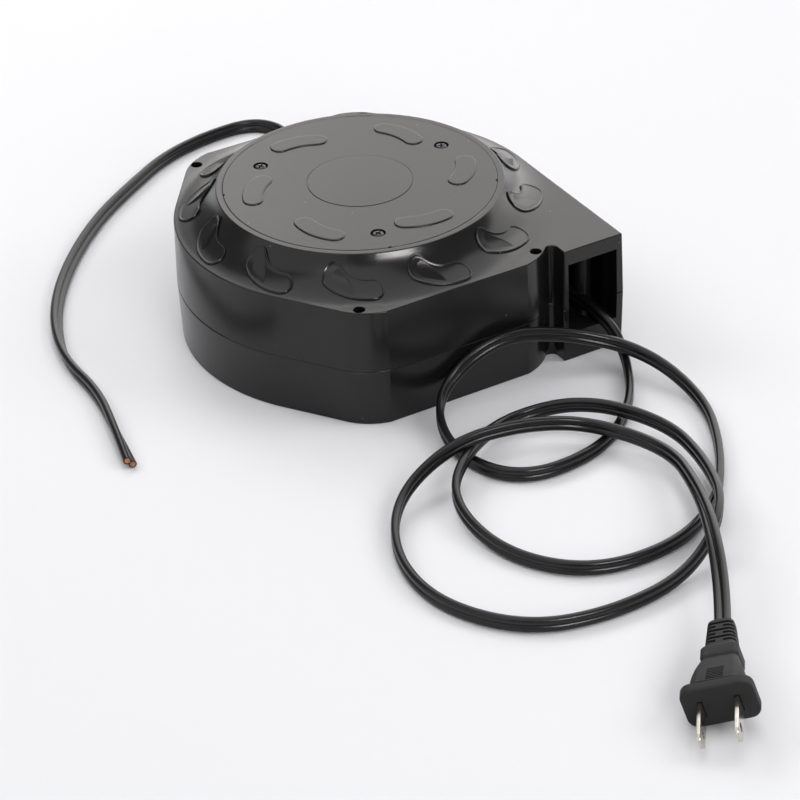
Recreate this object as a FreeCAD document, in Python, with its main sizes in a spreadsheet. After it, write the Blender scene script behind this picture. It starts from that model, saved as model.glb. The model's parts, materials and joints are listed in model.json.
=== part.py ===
"""Spring rewind extension cord reel: a low casing with two ears at the front and two at the back, a
drum that turns on a fixed spindle inside it, a flat spring under a round cover, a twin cord with a
plug that comes out of a mouth in the front, and a supply lead with bare ends at the back.

Lengths are in millimetres. The drum axis is Z, the front with the mouth faces -Y and the floor is
Z = 0. Every size is a cell of the sheet called Sizes, and the shapes are bound to those cells."""
import FreeCAD, Part
import math
import os
import Sketcher

SIZES = (
    # casing
    ("body_radius", 75.0),
    ("parting_height", 23.7),
    ("plate_height", 49.7),
    ("rim_rise", 11.8),
    ("draft_angle", 1.5),
    ("wall", 2.5),
    ("side_wall", 3.5),
    ("ear_radius", 25.0),
    ("ear_angle", 35.0),
    ("ear_trim", 0.59),
    ("valley_radius", 2.0),
    ("flare_radius", 22.0),
    ("flare_overrun", 1.4),
    ("rim_round", 1.3),
    ("rim_land", 1.886),
    ("cover_ledge", 3.25),
    ("mouth_width", 22.3),
    ("mouth_side_wall", 3.3),
    ("mouth_jamb", 2.4),
    ("mouth_frame_depth", 10.0),
    ("mouth_step", 1.0),
    ("mouth_low", 12.5),
    ("mouth_lintel", 6.2),
    ("mount_ahead", 13.385),
    ("mount_inset", 7.5),
    ("mount_hole_radius", 2.25),
    # raised pads
    ("pad_rise", 0.6),
    ("skirt_pad_count", 12.0),
    ("skirt_pad_start", -2.0),
    ("skirt_pad_inset", 11.4),
    ("skirt_pad_tilt", 18.9),
    ("skirt_pad_spacing", 15.9),
    ("skirt_pad_lobe", 4.4),
    ("skirt_pad_back", 22.4),
    ("skirt_pad_belly", 11.7),
    ("cover_pad_rise", 0.5),
    ("cover_pad_count", 6.0),
    ("cover_pad_start", -22.0),
    ("cover_pad_inset", 13.75),
    ("cover_pad_tilt", 19.0),
    ("cover_pad_spacing", 15.8),
    ("cover_pad_lobe", 4.1),
    ("cover_pad_back", 24.3),
    ("cover_pad_belly", 21.4),
    # cover
    ("cover_gap", 0.1),
    ("cover_thickness", 2.5),
    ("cover_proud", 0.1),
    ("cover_chamfer", 0.35),
    ("cover_screw_length", 10.0),
    ("cover_screw_head", 3.0),
    ("cover_post_radius", 4.2),
    ("label_radius", 20.8),
    ("label_thickness", 0.5),
    ("label_recess", 0.2),
    ("gate_notch_radius", 0.8),
    # screws and fits
    ("screw_radius", 1.4),
    ("pilot_clearance", 0.05),
    ("through_clearance", 0.2),
    ("fit_clearance", 0.02),
    ("running_clearance", 0.04),
    ("soft_clearance", 0.3),
    ("case_screw_ahead", 2.4),
    ("case_screw_inset", 4.8),
    ("case_screw_seat", 12.0),
    ("case_screw_length", 22.0),
    ("case_screw_head", 2.75),
    ("case_screw_head_height", 2.0),
    ("case_screw_well", 2.9),
    # spindle, bushes and drum
    ("spindle_radius", 4.0),
    ("spindle_low", 0.8),
    ("spindle_hold", 0.9),
    ("spindle_head_radius", 6.5),
    ("spindle_head_height", 1.5),
    ("spindle_post_radius", 8.0),
    ("spindle_post_top", 9.0),
    ("bush_radius", 5.5),
    ("bush_length", 11.0),
    ("hub_radius", 9.0),
    ("hub_lift", 0.1),
    ("hub_rise", 0.3),
    ("hub_hole_radius", 10.6),
    ("spigot_radius", 7.0),
    ("spigot_drop", 0.8),
    ("key_reach", 8.3),
    ("key_width", 2.4),
    ("core_inner_radius", 34.0),
    ("anchor_gap", 0.5),
    ("core_radius", 37.0),
    ("drum_low", 12.0),
    ("drum_head_gap", 1.2),
    ("core_web_thickness", 3.0),
    ("flange_thickness", 2.0),
    ("flange_gap", 3.0),
    ("flange_bead", 1.5),
    ("flange_screw_place", 30.4),
    ("flange_screw_post", 3.9),
    ("flange_screw_length", 9.0),
    ("flange_screw_head", 2.7),
    # ratchet and pawl
    ("ratchet_set_in", 6.5),
    ("ratchet_width", 4.5),
    ("ratchet_height", 2.6),
    ("ratchet_count", 12.0),
    ("ratchet_depth", 2.0),
    ("ratchet_stop_angle", 17.9),
    ("ratchet_notch_angle", 8.6),
    ("pawl_gap", 4.8),
    ("pawl_pin_radius", 2.0),
    ("pawl_boss_radius", 3.2),
    ("pawl_reach", 13.0),
    ("pawl_lean", 5.6),
    ("pawl_tip", 2.5),
    ("pawl_low", 6.2),
    ("pawl_top", 11.0),
    ("pawl_post_radius", 4.0),
    ("pawl_post_top", 4.0),
    ("pawl_pin_top", 11.6),
    ("pawl_pin_head", 3.0),
    # slip rings and brushes
    ("carrier_radius", 27.2),
    ("carrier_thickness", 1.8),
    ("ring_thickness", 0.8),
    ("inner_ring_radius", 15.75),
    ("outer_ring_radius", 24.75),
    ("ring_half_width", 1.75),
    ("brush_width", 3.0),
    ("brush_length", 4.35),
    ("holder_half_width", 6.0),
    ("holder_near", 11.0),
    ("holder_far", 30.0),
    ("holder_top", 8.0),
    ("small_screw_radius", 1.2),
    ("small_screw_head", 2.2),
    # spring
    ("arbor_radius", 10.0),
    ("arbor_gap", 1.3),
    ("spring_case_gap", 13.0),
    ("spring_case_wall", 1.5),
    ("spring_case_floor", 0.8),
    ("spring_case_hole", 11.0),
    ("spring_case_head_gap", 0.5),
    ("lug_angle", 70.0),
    ("lug_length", 5.5),
    ("lug_width", 5.0),
    ("lug_post_radius", 2.0),
    ("strip_thickness", 0.7),
    ("strip_pitch", 2.5),
    ("strip_head_gap", 1.1),
    # cord, rollers and lead
    ("cord_diameter", 4.4),
    ("wound_radius", 47.2),
    ("anchor_low", 31.0),
    ("exit_x", 60.3),
    ("exit_y", -49.0),
    ("exit_z", 19.0),
    ("roller_radius", 3.5),
    ("roller_offset", 12.1),
    ("roller_spread", 6.1),
    ("roller_depth", 19.0),
    ("roller_pin_radius", 1.5),
    ("roller_pin_hold", 4.5),
    ("roller_end_gap", 0.2),
    ("lead_x", 22.0),
    ("lead_stop_gap", 0.6),
    ("lead_z", 6.5),
    ("grommet_radius", 4.0),
    ("grommet_flange_radius", 5.2),
    ("grommet_hold", 7.0),
    ("grommet_proud", 1.2),
    ("grommet_tail_length", 18.0),
    ("grommet_tail_radius", 3.2),
    ("grommet_flange_sink", 0.25),
    ("clamp_inset", 30.0),
    ("clamp_length", 6.0),
    ("clamp_half_width", 7.0),
    ("clamp_top", 9.2),
    ("clamp_screw_offset", 4.9),
    ("wire_diameter", 1.7),
    ("core_wire_radius", 0.75),
    ("core_wire_length", 9.0),
    ("core_wire_offset", 1.35),
    # plug, in its own axes: x across, y up, z from the face back to the cord
    ("plug_x", -31.8),
    ("plug_y", -290.7),
    ("plug_z", 11.17),
    ("plug_face_width", 25.0),
    ("plug_face_height", 18.3),
    ("plug_face_thickness", 4.0),
    ("plug_face_round", 4.0),
    ("plug_shell_width", 18.0),
    ("plug_shell_height", 15.2),
    ("plug_shell_length", 16.6),
    ("plug_shell_taper", 8.0),
    ("plug_shell_round", 3.5),
    ("plug_block_width", 13.4),
    ("plug_block_height", 10.6),
    ("plug_block_length", 6.0),
    ("plug_block_round", 1.5),
    ("blade_spacing", 12.7),
    ("blade_width", 6.35),
    ("blade_thickness", 1.5),
    ("blade_length", 17.0),
    ("blade_root", 8.0),
    ("blade_drop", 1.46),
    ("blade_hole_radius", 1.6),
    ("blade_hole_place", 12.0),
    ("blade_tip_cut", 1.6),
    ("relief_width", 11.4),
    ("relief_height", 9.0),
    ("relief_length", 14.0),
    ("relief_taper", 5.0),
    ("relief_round", 2.5),
    ("relief_slot", 1.2),
    ("relief_slot_pitch", 2.5),
    ("relief_core_half", 2.5),
)

# The cord from the rollers to the plug, first the exit drop, then three loose loops on the floor.
PLUG_CORD_ROUTE = (
    (64.0, -74.0, 20.5),
    (67.0, -90.0, 3.2),
    (49.0, -120.0, 3.2),
    (21.0, -141.0, 3.2),
    (-15.0, -141.0, 3.2),
    (-27.0, -107.0, 3.2),
    (-13.0, -76.0, 9.0),
    (13.0, -79.0, 29.0),
    (47.0, -80.0, 18.0),
    (71.0, -98.0, 9.0),
    (75.0, -131.0, 3.2),
    (61.0, -161.0, 3.2),
    (41.0, -188.0, 3.2),
    (12.0, -203.0, 3.2),
    (-23.0, -201.0, 3.2),
    (-43.0, -173.0, 3.2),
    (-44.0, -137.0, 6.0),
    (-22.0, -117.0, 12.0),
    (8.0, -98.0, 5.0),
    (31.0, -115.0, 13.0),
    (51.0, -141.0, 7.0),
    (47.0, -172.0, 8.0),
    (33.0, -203.0, 12.0),
    (7.0, -219.0, 3.2),
    (-28.0, -225.0, 3.2),
    (-59.0, -217.0, 3.2),
    (-77.0, -187.0, 3.2),
    (-76.0, -155.0, 3.2),
    (-59.0, -125.0, 6.0),
    (-30.0, -116.0, 15.0),
    (-2.0, -120.0, 17.0),
    (25.0, -127.0, 10.0),
    (41.0, -157.0, 8.0),
    (31.0, -188.0, 13.0),
    (18.0, -216.0, 17.0),
    (2.4, -244.5, 14.35),
)

# The supply lead from the grommet in the back wall round the left side to its bare end.
LEAD_ROUTE = (
    (23.5, 113.0, 2.4),
    (33.0, 132.0, 2.4),
    (45.0, 150.0, 2.4),
    (37.0, 168.0, 2.4),
    (13.0, 169.0, 2.4),
    (-11.0, 162.0, 2.4),
    (-34.0, 147.0, 2.4),
    (-58.0, 129.0, 2.4),
    (-80.0, 107.0, 2.4),
    (-99.0, 82.0, 2.4),
    (-112.0, 57.0, 2.4),
    (-118.0, 31.0, 2.4),
    (-120.0, 3.0, 2.4),
    (-125.0, -24.0, 2.4),
    (-129.0, -48.0, 2.4),
)

COVER_SCREW_ANGLES = (-110.0, 10.0, 130.0)
GATE_NOTCH_ANGLES = (158.9, -107.2, -33.3)
PLUG_YAW = -126.7
PLUG_PITCH = -3.15
PLUG_ROLL = 13.6

doc = FreeCAD.newDocument("reel")
sheet = doc.addObject("Spreadsheet::Sheet", "Sizes")
for row, (alias, value) in enumerate(SIZES, start=1):
    sheet.set("A%d" % row, alias.replace("_", " "))
    sheet.set("B%d" % row, str(value))
    sheet.setAlias("B%d" % row, alias)
doc.recompute()


class Size:
    """A number and the formula that gives the same number from the sheet."""

    def __init__(self, value, formula):
        self.value = float(value)
        self.formula = formula

    def __add__(self, other):
        other = as_size(other)
        return Size(self.value + other.value, "(%s + %s)" % (self.formula, other.formula))

    def __sub__(self, other):
        other = as_size(other)
        return Size(self.value - other.value, "(%s - %s)" % (self.formula, other.formula))

    def __mul__(self, other):
        other = as_size(other)
        return Size(self.value * other.value, "(%s * %s)" % (self.formula, other.formula))

    def __truediv__(self, other):
        other = as_size(other)
        return Size(self.value / other.value, "(%s / %s)" % (self.formula, other.formula))

    def __neg__(self):
        return Size(-self.value, "(0 - %s)" % self.formula)

    def __radd__(self, other):
        return as_size(other) + self

    def __rsub__(self, other):
        return as_size(other) - self

    def __rmul__(self, other):
        return as_size(other) * self


def as_size(number):
    """A plain number as a Size; a Size as it is."""
    if isinstance(number, Size):
        return number
    return Size(number, "(%r)" % float(number))


def cosine(angle):
    angle = as_size(angle)
    return Size(math.cos(math.radians(angle.value)), "cos(%s * 1deg)" % angle.formula)


def sine(angle):
    angle = as_size(angle)
    return Size(math.sin(math.radians(angle.value)), "sin(%s * 1deg)" % angle.formula)


def root(square):
    return Size(math.sqrt(square.value), "sqrt(%s)" % square.formula)


def other_leg(long_side, leg):
    """The second leg of a right triangle."""
    long_side = as_size(long_side)
    leg = as_size(leg)
    return root(long_side * long_side - leg * leg)


class SheetSizes:
    """Reads a cell of the sheet by its name."""

    def __getattr__(self, alias):
        return Size(getattr(sheet, alias), "Sizes." + alias)


S = SheetSizes()
nodes = []


def node(label, thing):
    """Gives a finished piece its plain name and lists it for the files."""
    thing.Label = label
    nodes.append(thing)
    return thing


def bind(thing, prop, size, unit=""):
    thing.setExpression(prop, as_size(size).formula + unit)


def place(thing, x, y, z):
    bind(thing, "Placement.Base.x", x)
    bind(thing, "Placement.Base.y", y)
    bind(thing, "Placement.Base.z", z)


def cylinder(radius, low, high, x=0.0, y=0.0):
    thing = doc.addObject("Part::Cylinder", "Cylinder")
    bind(thing, "Radius", radius)
    bind(thing, "Height", as_size(high) - low)
    place(thing, x, y, low)
    return thing


def cylinder_along_y(radius, start, end, x, z):
    thing = doc.addObject("Part::Cylinder", "Cylinder")
    thing.Placement.Rotation = FreeCAD.Rotation(FreeCAD.Vector(1, 0, 0), -90)
    bind(thing, "Radius", radius)
    bind(thing, "Height", as_size(end) - start)
    place(thing, x, start, z)
    return thing


def cone_along_y(start_radius, end_radius, start, end, x, z):
    thing = doc.addObject("Part::Cone", "Cone")
    thing.Placement.Rotation = FreeCAD.Rotation(FreeCAD.Vector(1, 0, 0), -90)
    bind(thing, "Radius1", start_radius)
    bind(thing, "Radius2", end_radius)
    bind(thing, "Height", as_size(end) - start)
    place(thing, x, start, z)
    return thing


def cone(low_radius, high_radius, low, high, x=0.0, y=0.0):
    thing = doc.addObject("Part::Cone", "Cone")
    bind(thing, "Radius1", low_radius)
    bind(thing, "Radius2", high_radius)
    bind(thing, "Height", as_size(high) - low)
    place(thing, x, y, low)
    return thing


def box(x_low, x_high, y_low, y_high, z_low, z_high, turn=0.0):
    """A box by its limits, turned afterwards about the drum axis."""
    thing = doc.addObject("Part::Box", "Box")
    x_low = as_size(x_low)
    y_low = as_size(y_low)
    turn = as_size(turn)
    thing.Placement.Rotation = FreeCAD.Rotation(FreeCAD.Vector(0, 0, 1), turn.value)
    bind(thing, "Length", as_size(x_high) - x_low)
    bind(thing, "Width", as_size(y_high) - y_low)
    bind(thing, "Height", as_size(z_high) - z_low)
    if turn.value:
        bind(thing, "Placement.Rotation.Angle", turn, " * 1deg")
        x_start = x_low * cosine(turn) - y_low * sine(turn)
        y_start = x_low * sine(turn) + y_low * cosine(turn)
        place(thing, x_start, y_start, z_low)
    else:
        place(thing, x_low, y_low, z_low)
    return thing


def fuse(*things):
    thing = doc.addObject("Part::MultiFuse", "Fuse")
    thing.Shapes = list(things)
    return thing


def cut(base, *tools):
    thing = doc.addObject("Part::Cut", "Cut")
    thing.Base = base
    thing.Tool = tools[0] if len(tools) == 1 else fuse(*tools)
    return thing


def together(*things):
    """Separate solids kept in one piece."""
    thing = doc.addObject("Part::Compound", "Together")
    thing.Links = list(things)
    return thing


def ring(inner, outer, low, high, x=0.0, y=0.0):
    return cut(cylinder(outer, low, high, x, y), cylinder(inner, as_size(low) - 1, as_size(high) + 1, x, y))


def new_body(name):
    return doc.addObject("PartDesign::Body", name)


def new_sketch(body, role, height=None):
    """A sketch on one of the body's own planes, raised by height."""
    plane = [part for part in body.Origin.OriginFeatures if part.Role == role][0]
    sketch = body.newObject("Sketcher::SketchObject", "Outline")
    sketch.AttachmentSupport = [(plane, "")]
    sketch.MapMode = "FlatFace"
    if height is not None:
        bind(sketch, "AttachmentOffset.Base.z", height)
    return sketch


def fix_point(sketch, edge, end, x, y):
    """Holds one point of a sketch at x, y."""
    for kind, axis, size in (("DistanceX", -2, as_size(x)), ("DistanceY", -1, as_size(y))):
        if abs(size.value) < 1e-9:
            sketch.addConstraint(Sketcher.Constraint("PointOnObject", edge, end, axis))
            continue
        index = sketch.addConstraint(Sketcher.Constraint(kind, edge, end, size.value))
        bind(sketch, "Constraints[%d]" % index, size)


def draw(sketch, corners):
    """A closed outline. Each corner is x, y and the radius of the arc to the next corner: None for a
    straight side, positive where the arc turns left, negative where it turns right."""
    ends = []
    for index, (x, y, bend) in enumerate(corners):
        next_x, next_y = corners[(index + 1) % len(corners)][:2]
        start = FreeCAD.Vector(as_size(x).value, as_size(y).value, 0)
        end = FreeCAD.Vector(as_size(next_x).value, as_size(next_y).value, 0)
        if bend is None:
            edge = sketch.addGeometry(Part.LineSegment(start, end), False)
            ends.append((edge, 1, 2))
            continue
        bend = as_size(bend)
        radius = abs(bend.value)
        chord = end - start
        side = FreeCAD.Vector(-chord.y, chord.x, 0).normalize()
        if bend.value < 0:
            side = side * -1
        middle = (start + end) * 0.5 + side * math.sqrt(radius ** 2 - (chord.Length / 2) ** 2)
        first, last = (start, end) if bend.value > 0 else (end, start)
        first_angle = math.atan2(first.y - middle.y, first.x - middle.x)
        last_angle = math.atan2(last.y - middle.y, last.x - middle.x)
        circle = Part.Circle(middle, FreeCAD.Vector(0, 0, 1), radius)
        edge = sketch.addGeometry(Part.ArcOfCircle(circle, first_angle, last_angle), False)
        size = sketch.addConstraint(Sketcher.Constraint("Radius", edge, radius))
        bind(sketch, "Constraints[%d]" % size, bend if bend.value > 0 else -bend)
        ends.append((edge, 1, 2) if bend.value > 0 else (edge, 2, 1))
    for index, (edge, start, end) in enumerate(ends):
        next_edge, next_start, next_end = ends[(index + 1) % len(ends)]
        sketch.addConstraint(Sketcher.Constraint("Coincident", edge, end, next_edge, next_start))
    for (edge, start, end), (x, y, bend) in zip(ends, corners):
        fix_point(sketch, edge, start, x, y)


def draw_rounded_box(sketch, width, height, corner):
    """A box with round corners about the sketch's origin."""
    x = as_size(width) / 2
    y = as_size(height) / 2
    corner = as_size(corner)
    draw(sketch, (
        (corner - x, -y, None),
        (x - corner, -y, corner),
        (x, corner - y, None),
        (x, y - corner, corner),
        (x - corner, y, None),
        (corner - x, y, corner),
        (-x, y - corner, None),
        (-x, corner - y, corner),
    ))


def pad(body, sketch, length, down=False, taper=None):
    feature = body.newObject("PartDesign::Pad", "Pad")
    feature.Profile = sketch
    bind(feature, "Length", length)
    feature.Reversed = down
    if taper is not None:
        bind(feature, "TaperAngle", -as_size(taper), " * 1deg")
    return feature


def turned(body, sketch, kind="Revolution"):
    """The sketch's outline turned all the way round the body's Z axis, added or cut away."""
    feature = body.newObject("PartDesign::" + kind, kind)
    feature.Profile = sketch
    feature.ReferenceAxis = (sketch, ["V_Axis"])
    feature.Angle = 360
    return feature


def turned_solid(name, corners):
    body = new_body(name)
    sketch = new_sketch(body, "XZ_Plane")
    draw(sketch, corners)
    body.Tip = turned(body, sketch)
    return body


def repeat(body, feature, count):
    """The feature repeated round the body's Z axis."""
    axis = [part for part in body.Origin.OriginFeatures if part.Role == "Z_Axis"][0]
    pattern = body.newObject("PartDesign::PolarPattern", "Pattern")
    pattern.Originals = [feature]
    pattern.Axis = (axis, [""])
    pattern.Angle = 360
    bind(pattern, "Occurrences", count)
    body.Tip = pattern
    return pattern


def draw_bean(sketch, start, distance, tilt, spacing, lobe, back, belly):
    """A kidney shape of four tangent arcs, hollow side to the axis: two lobes, a back and a belly."""
    along = start + 90 - tilt
    half = spacing / 2
    middle_x = distance * cosine(start)
    middle_y = distance * sine(start)
    back_drop = other_leg(back - lobe, half)
    belly_drop = other_leg(belly + lobe, half)
    centres = (
        (middle_x - half * cosine(along), middle_y - half * sine(along), lobe),
        (middle_x + half * cosine(along), middle_y + half * sine(along), lobe),
        (middle_x - back_drop * sine(along), middle_y + back_drop * cosine(along), back),
        (middle_x - belly_drop * sine(along), middle_y + belly_drop * cosine(along), belly),
    )
    points = [FreeCAD.Vector(x.value, y.value, 0) for x, y, radius in centres]
    near, far, behind, below = points
    up = FreeCAD.Vector(0, 0, 1)

    def angle_of(vector):
        return math.atan2(vector.y, vector.x)

    spans = (
        (angle_of(below - near), angle_of(near - behind)),
        (angle_of(far - behind), angle_of(below - far)),
        (angle_of(near - behind), angle_of(far - behind)),
        (angle_of(near - below), angle_of(far - below)),
    )
    edges = []
    for (x, y, radius), point, (first, last) in zip(centres, points, spans):
        circle = Part.Circle(point, up, radius.value)
        edges.append(sketch.addGeometry(Part.ArcOfCircle(circle, first, last), False))
    near_edge, far_edge, back_edge, belly_edge = edges
    for one, one_end, other, other_end in (
        (near_edge, 2, back_edge, 1),
        (back_edge, 2, far_edge, 1),
        (far_edge, 2, belly_edge, 2),
        (belly_edge, 1, near_edge, 1),
    ):
        sketch.addConstraint(Sketcher.Constraint("Tangent", one, one_end, other, other_end))
    for edge, (x, y, radius) in zip(edges, centres):
        index = sketch.addConstraint(Sketcher.Constraint("Radius", edge, radius.value))
        bind(sketch, "Constraints[%d]" % index, radius)
    fix_point(sketch, near_edge, 3, centres[0][0], centres[0][1])
    fix_point(sketch, far_edge, 3, centres[1][0], centres[1][1])


def tube(name, points, diameter):
    """A round cord along straight runs joined by tangent arcs."""
    points = [FreeCAD.Vector(*point) for point in points]
    edges = []
    radii = []
    last = points[0]
    for before, corner, after in zip(points, points[1:], points[2:]):
        back = (before - corner).normalize()
        ahead = (after - corner).normalize()
        half_turn = (math.pi - back.getAngle(ahead)) / 2
        trim = 0.45 * min((before - corner).Length, (after - corner).Length)
        radius = trim / math.tan(half_turn)
        radii.append(radius)
        start = corner + back * trim
        end = corner + ahead * trim
        bisector = (back + ahead).normalize()
        middle = corner + bisector * (radius / math.cos(half_turn) - radius)
        edges.append(Part.LineSegment(last, start).toShape())
        edges.append(Part.Arc(start, middle, end).toShape())
        last = end
    edges.append(Part.LineSegment(last, points[-1]).toShape())
    wire = Part.Wire(edges)
    section = Part.Wire(Part.makeCircle(diameter / 2, points[0], points[1] - points[0]))
    thing = doc.addObject("Part::Feature", name)
    thing.Shape = wire.makePipeShell([section], True, False)
    whole = wire.Length * math.pi * diameter ** 2 / 4
    share = thing.Shape.Volume / whole
    least = min(radii, default=0.0)
    print("%s length %.1f, least bend radius %.1f, volume %.4f of section by length" % (
        name, wire.Length, least, share,
    ))
    if abs(share - 1) > 0.02 or (radii and least < diameter / 2):
        raise RuntimeError("%s folds over itself" % name)
    return thing


def countersunk(x, y, seat, way, length, head, shank=None):
    """A cross head screw. Way is -1 where it points down from its seat and 1 where it points up."""
    shank = S.screw_radius if shank is None else shank
    seat = as_size(seat)
    drop = head - shank
    slot = S.screw_radius * 0.85
    thin = S.screw_radius * 0.3
    if way < 0:
        tapered = cone(shank, head, seat - drop, seat, x, y)
        body = fuse(tapered, cylinder(shank, seat - length, seat - drop, x, y))
        low = seat - slot
        high = seat + 1
    else:
        tapered = cone(head, shank, seat, seat + drop, x, y)
        body = fuse(tapered, cylinder(shank, seat + drop, seat + length, x, y))
        low = seat - 1
        high = seat + slot
    x = as_size(x)
    y = as_size(y)
    return cut(
        body,
        box(x - slot, x + slot, y - thin, y + thin, low, high),
        box(x - thin, x + thin, y - slot, y + slot, low, high),
    )


def countersink(x, y, seat, way, length, head, shank=None):
    """The hole that such a screw passes through, with its cone."""
    shank = S.screw_radius if shank is None else shank
    seat = as_size(seat)
    gap = S.pilot_clearance
    wide = shank + S.through_clearance
    drop = head - shank
    if way < 0:
        sink = cone(shank + gap, head + gap, seat - drop, seat, x, y)
        entry = cylinder(head + gap, seat, seat + 1, x, y)
        return fuse(sink, entry, cylinder(wide, seat - length, seat, x, y))
    sink = cone(head + gap, shank + gap, seat, seat + drop, x, y)
    return fuse(sink, cylinder(head + gap, seat - 1, seat, x, y), cylinder(wide, seat, seat + length, x, y))


def round_the_axis(place_radius, angle):
    return place_radius * cosine(angle), place_radius * sine(angle)


# Heights, from the floor up to the cover
FLANGE_LOW = S.drum_low
CORE_LOW = FLANGE_LOW + S.flange_thickness
HUB_LOW = S.spindle_post_top + S.hub_lift
RATCHET_LOW = FLANGE_LOW - S.ratchet_height
PARTITION_LOW = S.plate_height - S.wall
FLANGE_TOP = PARTITION_LOW - S.drum_head_gap
CORE_TOP = FLANGE_TOP - S.flange_thickness
CORE_WEB_LOW = (CORE_LOW + CORE_TOP - S.core_web_thickness) / 2
MOUTH_HIGH = S.plate_height - S.mouth_lintel
RIM_HEIGHT = S.plate_height + S.rim_rise
COVER_TOP = RIM_HEIGHT + S.cover_proud
COVER_LOW = COVER_TOP - S.cover_thickness
SPINDLE_TOP = COVER_LOW + S.spindle_hold
ARBOR_TOP = COVER_LOW - S.arbor_gap
SPIGOT_TOP = ARBOR_TOP - S.spigot_drop
HUB_TOP = S.plate_height + S.hub_rise
SPRING_CASE_TOP = COVER_LOW - S.spring_case_head_gap
STRIP_LOW = S.plate_height + S.spring_case_floor + 0.5
STRIP_WIDTH = SPRING_CASE_TOP - S.strip_head_gap - STRIP_LOW

# The skirt is a hollow flare from the top plate up to the rim round the cover
FLARE_FOOT = S.body_radius + S.flare_overrun
FLARE_Z = S.plate_height + S.flare_radius
RIM_Z = RIM_HEIGHT - S.rim_round
RIM_X = FLARE_FOOT - other_leg(S.flare_radius + S.rim_round, FLARE_Z - RIM_Z)

# Radii, from the side wall in
DRUM_ROOM_RADIUS = S.body_radius - S.side_wall
FLANGE_RADIUS = DRUM_ROOM_RADIUS - S.flange_gap
RATCHET_RADIUS = FLANGE_RADIUS - S.ratchet_set_in
RATCHET_INNER_RADIUS = RATCHET_RADIUS - S.ratchet_width
PAWL_PLACE = RATCHET_RADIUS + S.pawl_gap
COVER_RADIUS = RIM_X - S.rim_land
SPRING_ROOM_RADIUS = COVER_RADIUS - S.cover_ledge
SPRING_CASE_RADIUS = SPRING_ROOM_RADIUS - S.spring_case_gap
COVER_SCREW_PLACE = SPRING_CASE_RADIUS + S.cover_post_radius + 0.1
LUG_REACH = SPRING_CASE_RADIUS + S.lug_length
SKIRT_PAD_PLACE = FLARE_FOOT - S.skirt_pad_inset
COVER_PAD_PLACE = COVER_RADIUS - S.cover_pad_inset

# The outlet box with the mouth, and the rollers in it
MOUTH_RIGHT = S.body_radius - S.mouth_side_wall
MOUTH_LEFT = MOUTH_RIGHT - S.mouth_width
OUTLET_LEFT = MOUTH_LEFT - S.mouth_jamb
ROLLER_MIDDLE_X = MOUTH_LEFT + S.roller_offset
ROLLER_Y = S.roller_depth - S.body_radius

# Casing outline, shared by both halves: a round body, four ears and the outlet box at the front right
EAR_Y = S.body_radius - S.ear_radius + S.ear_trim
EAR_REACH = (EAR_Y - (S.body_radius - S.ear_radius) * sine(S.ear_angle)) / cosine(S.ear_angle)
EAR_X = (S.body_radius - S.ear_radius) * cosine(S.ear_angle) - EAR_REACH * sine(S.ear_angle)
MOUNT_X = EAR_X + S.mount_ahead
MOUNT_Y = S.body_radius - S.mount_inset
CASE_SCREW_X = EAR_X + S.case_screw_ahead
CASE_SCREW_Y = S.body_radius - S.case_screw_inset
GROMMET_INNER_Y = S.body_radius - S.grommet_hold
GROMMET_FLANGE_Y = S.body_radius - S.grommet_flange_sink
GROMMET_OUTER_Y = S.body_radius + S.grommet_proud
LEAD_OUT_Y = GROMMET_OUTER_Y + S.grommet_tail_length
EAR_END = EAR_X + other_leg(S.ear_radius, S.body_radius - EAR_Y)
VALLEY_X = OUTLET_LEFT - S.valley_radius
VALLEY_Y = EAR_Y + other_leg(S.ear_radius + S.valley_radius, VALLEY_X - EAR_X)
VALLEY_SHARE = S.ear_radius / (S.ear_radius + S.valley_radius)
VALLEY_START_X = EAR_X + (VALLEY_X - EAR_X) * VALLEY_SHARE
VALLEY_START_Y = EAR_Y + (VALLEY_Y - EAR_Y) * VALLEY_SHARE
SIDE_X = S.body_radius * cosine(S.ear_angle)
SIDE_Y = S.body_radius * sine(S.ear_angle)
EAR_SIDE_X = EAR_X + S.ear_radius * cosine(S.ear_angle)
EAR_SIDE_Y = EAR_Y + S.ear_radius * sine(S.ear_angle)
CASING_OUTLINE = (
    (-EAR_END, -S.body_radius, None),
    (EAR_END, -S.body_radius, S.ear_radius),
    (VALLEY_START_X, -VALLEY_START_Y, -S.valley_radius),
    (OUTLET_LEFT, -VALLEY_Y, None),
    (OUTLET_LEFT, -S.body_radius, None),
    (S.body_radius, -S.body_radius, None),
    (S.body_radius, 0.0, S.body_radius),
    (SIDE_X, SIDE_Y, None),
    (EAR_SIDE_X, EAR_SIDE_Y, S.ear_radius),
    (EAR_END, S.body_radius, None),
    (-EAR_END, S.body_radius, S.ear_radius),
    (-EAR_SIDE_X, EAR_SIDE_Y, None),
    (-SIDE_X, SIDE_Y, S.body_radius),
    (-SIDE_X, -SIDE_Y, None),
    (-EAR_SIDE_X, -EAR_SIDE_Y, S.ear_radius),
)
MOUNT_PLACES = ((-1, -1), (1, -1), (1, 1), (-1, 1))


def casing_half(name, height, down):
    body = new_body(name)
    sketch = new_sketch(body, "XY_Plane", S.parting_height)
    draw(sketch, CASING_OUTLINE)
    body.Tip = pad(body, sketch, height, down, S.draft_angle)
    return body


def mouth(low, high):
    """The room behind the mouth, from the front face back to the drum room, wider past its frame."""
    front = -S.body_radius - 3
    step_y = S.mouth_frame_depth - S.body_radius
    return fuse(
        box(MOUTH_LEFT, MOUTH_RIGHT, front, 0.0, low, high),
        box(MOUTH_RIGHT - 1, MOUTH_RIGHT + S.mouth_step, step_y, 0.0, low, high),
    )


def roller_pin_holes(low, high):
    radius = S.roller_pin_radius + S.fit_clearance
    return [cylinder(radius, low, high, x, ROLLER_Y) for x in ROLLER_X]


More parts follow.
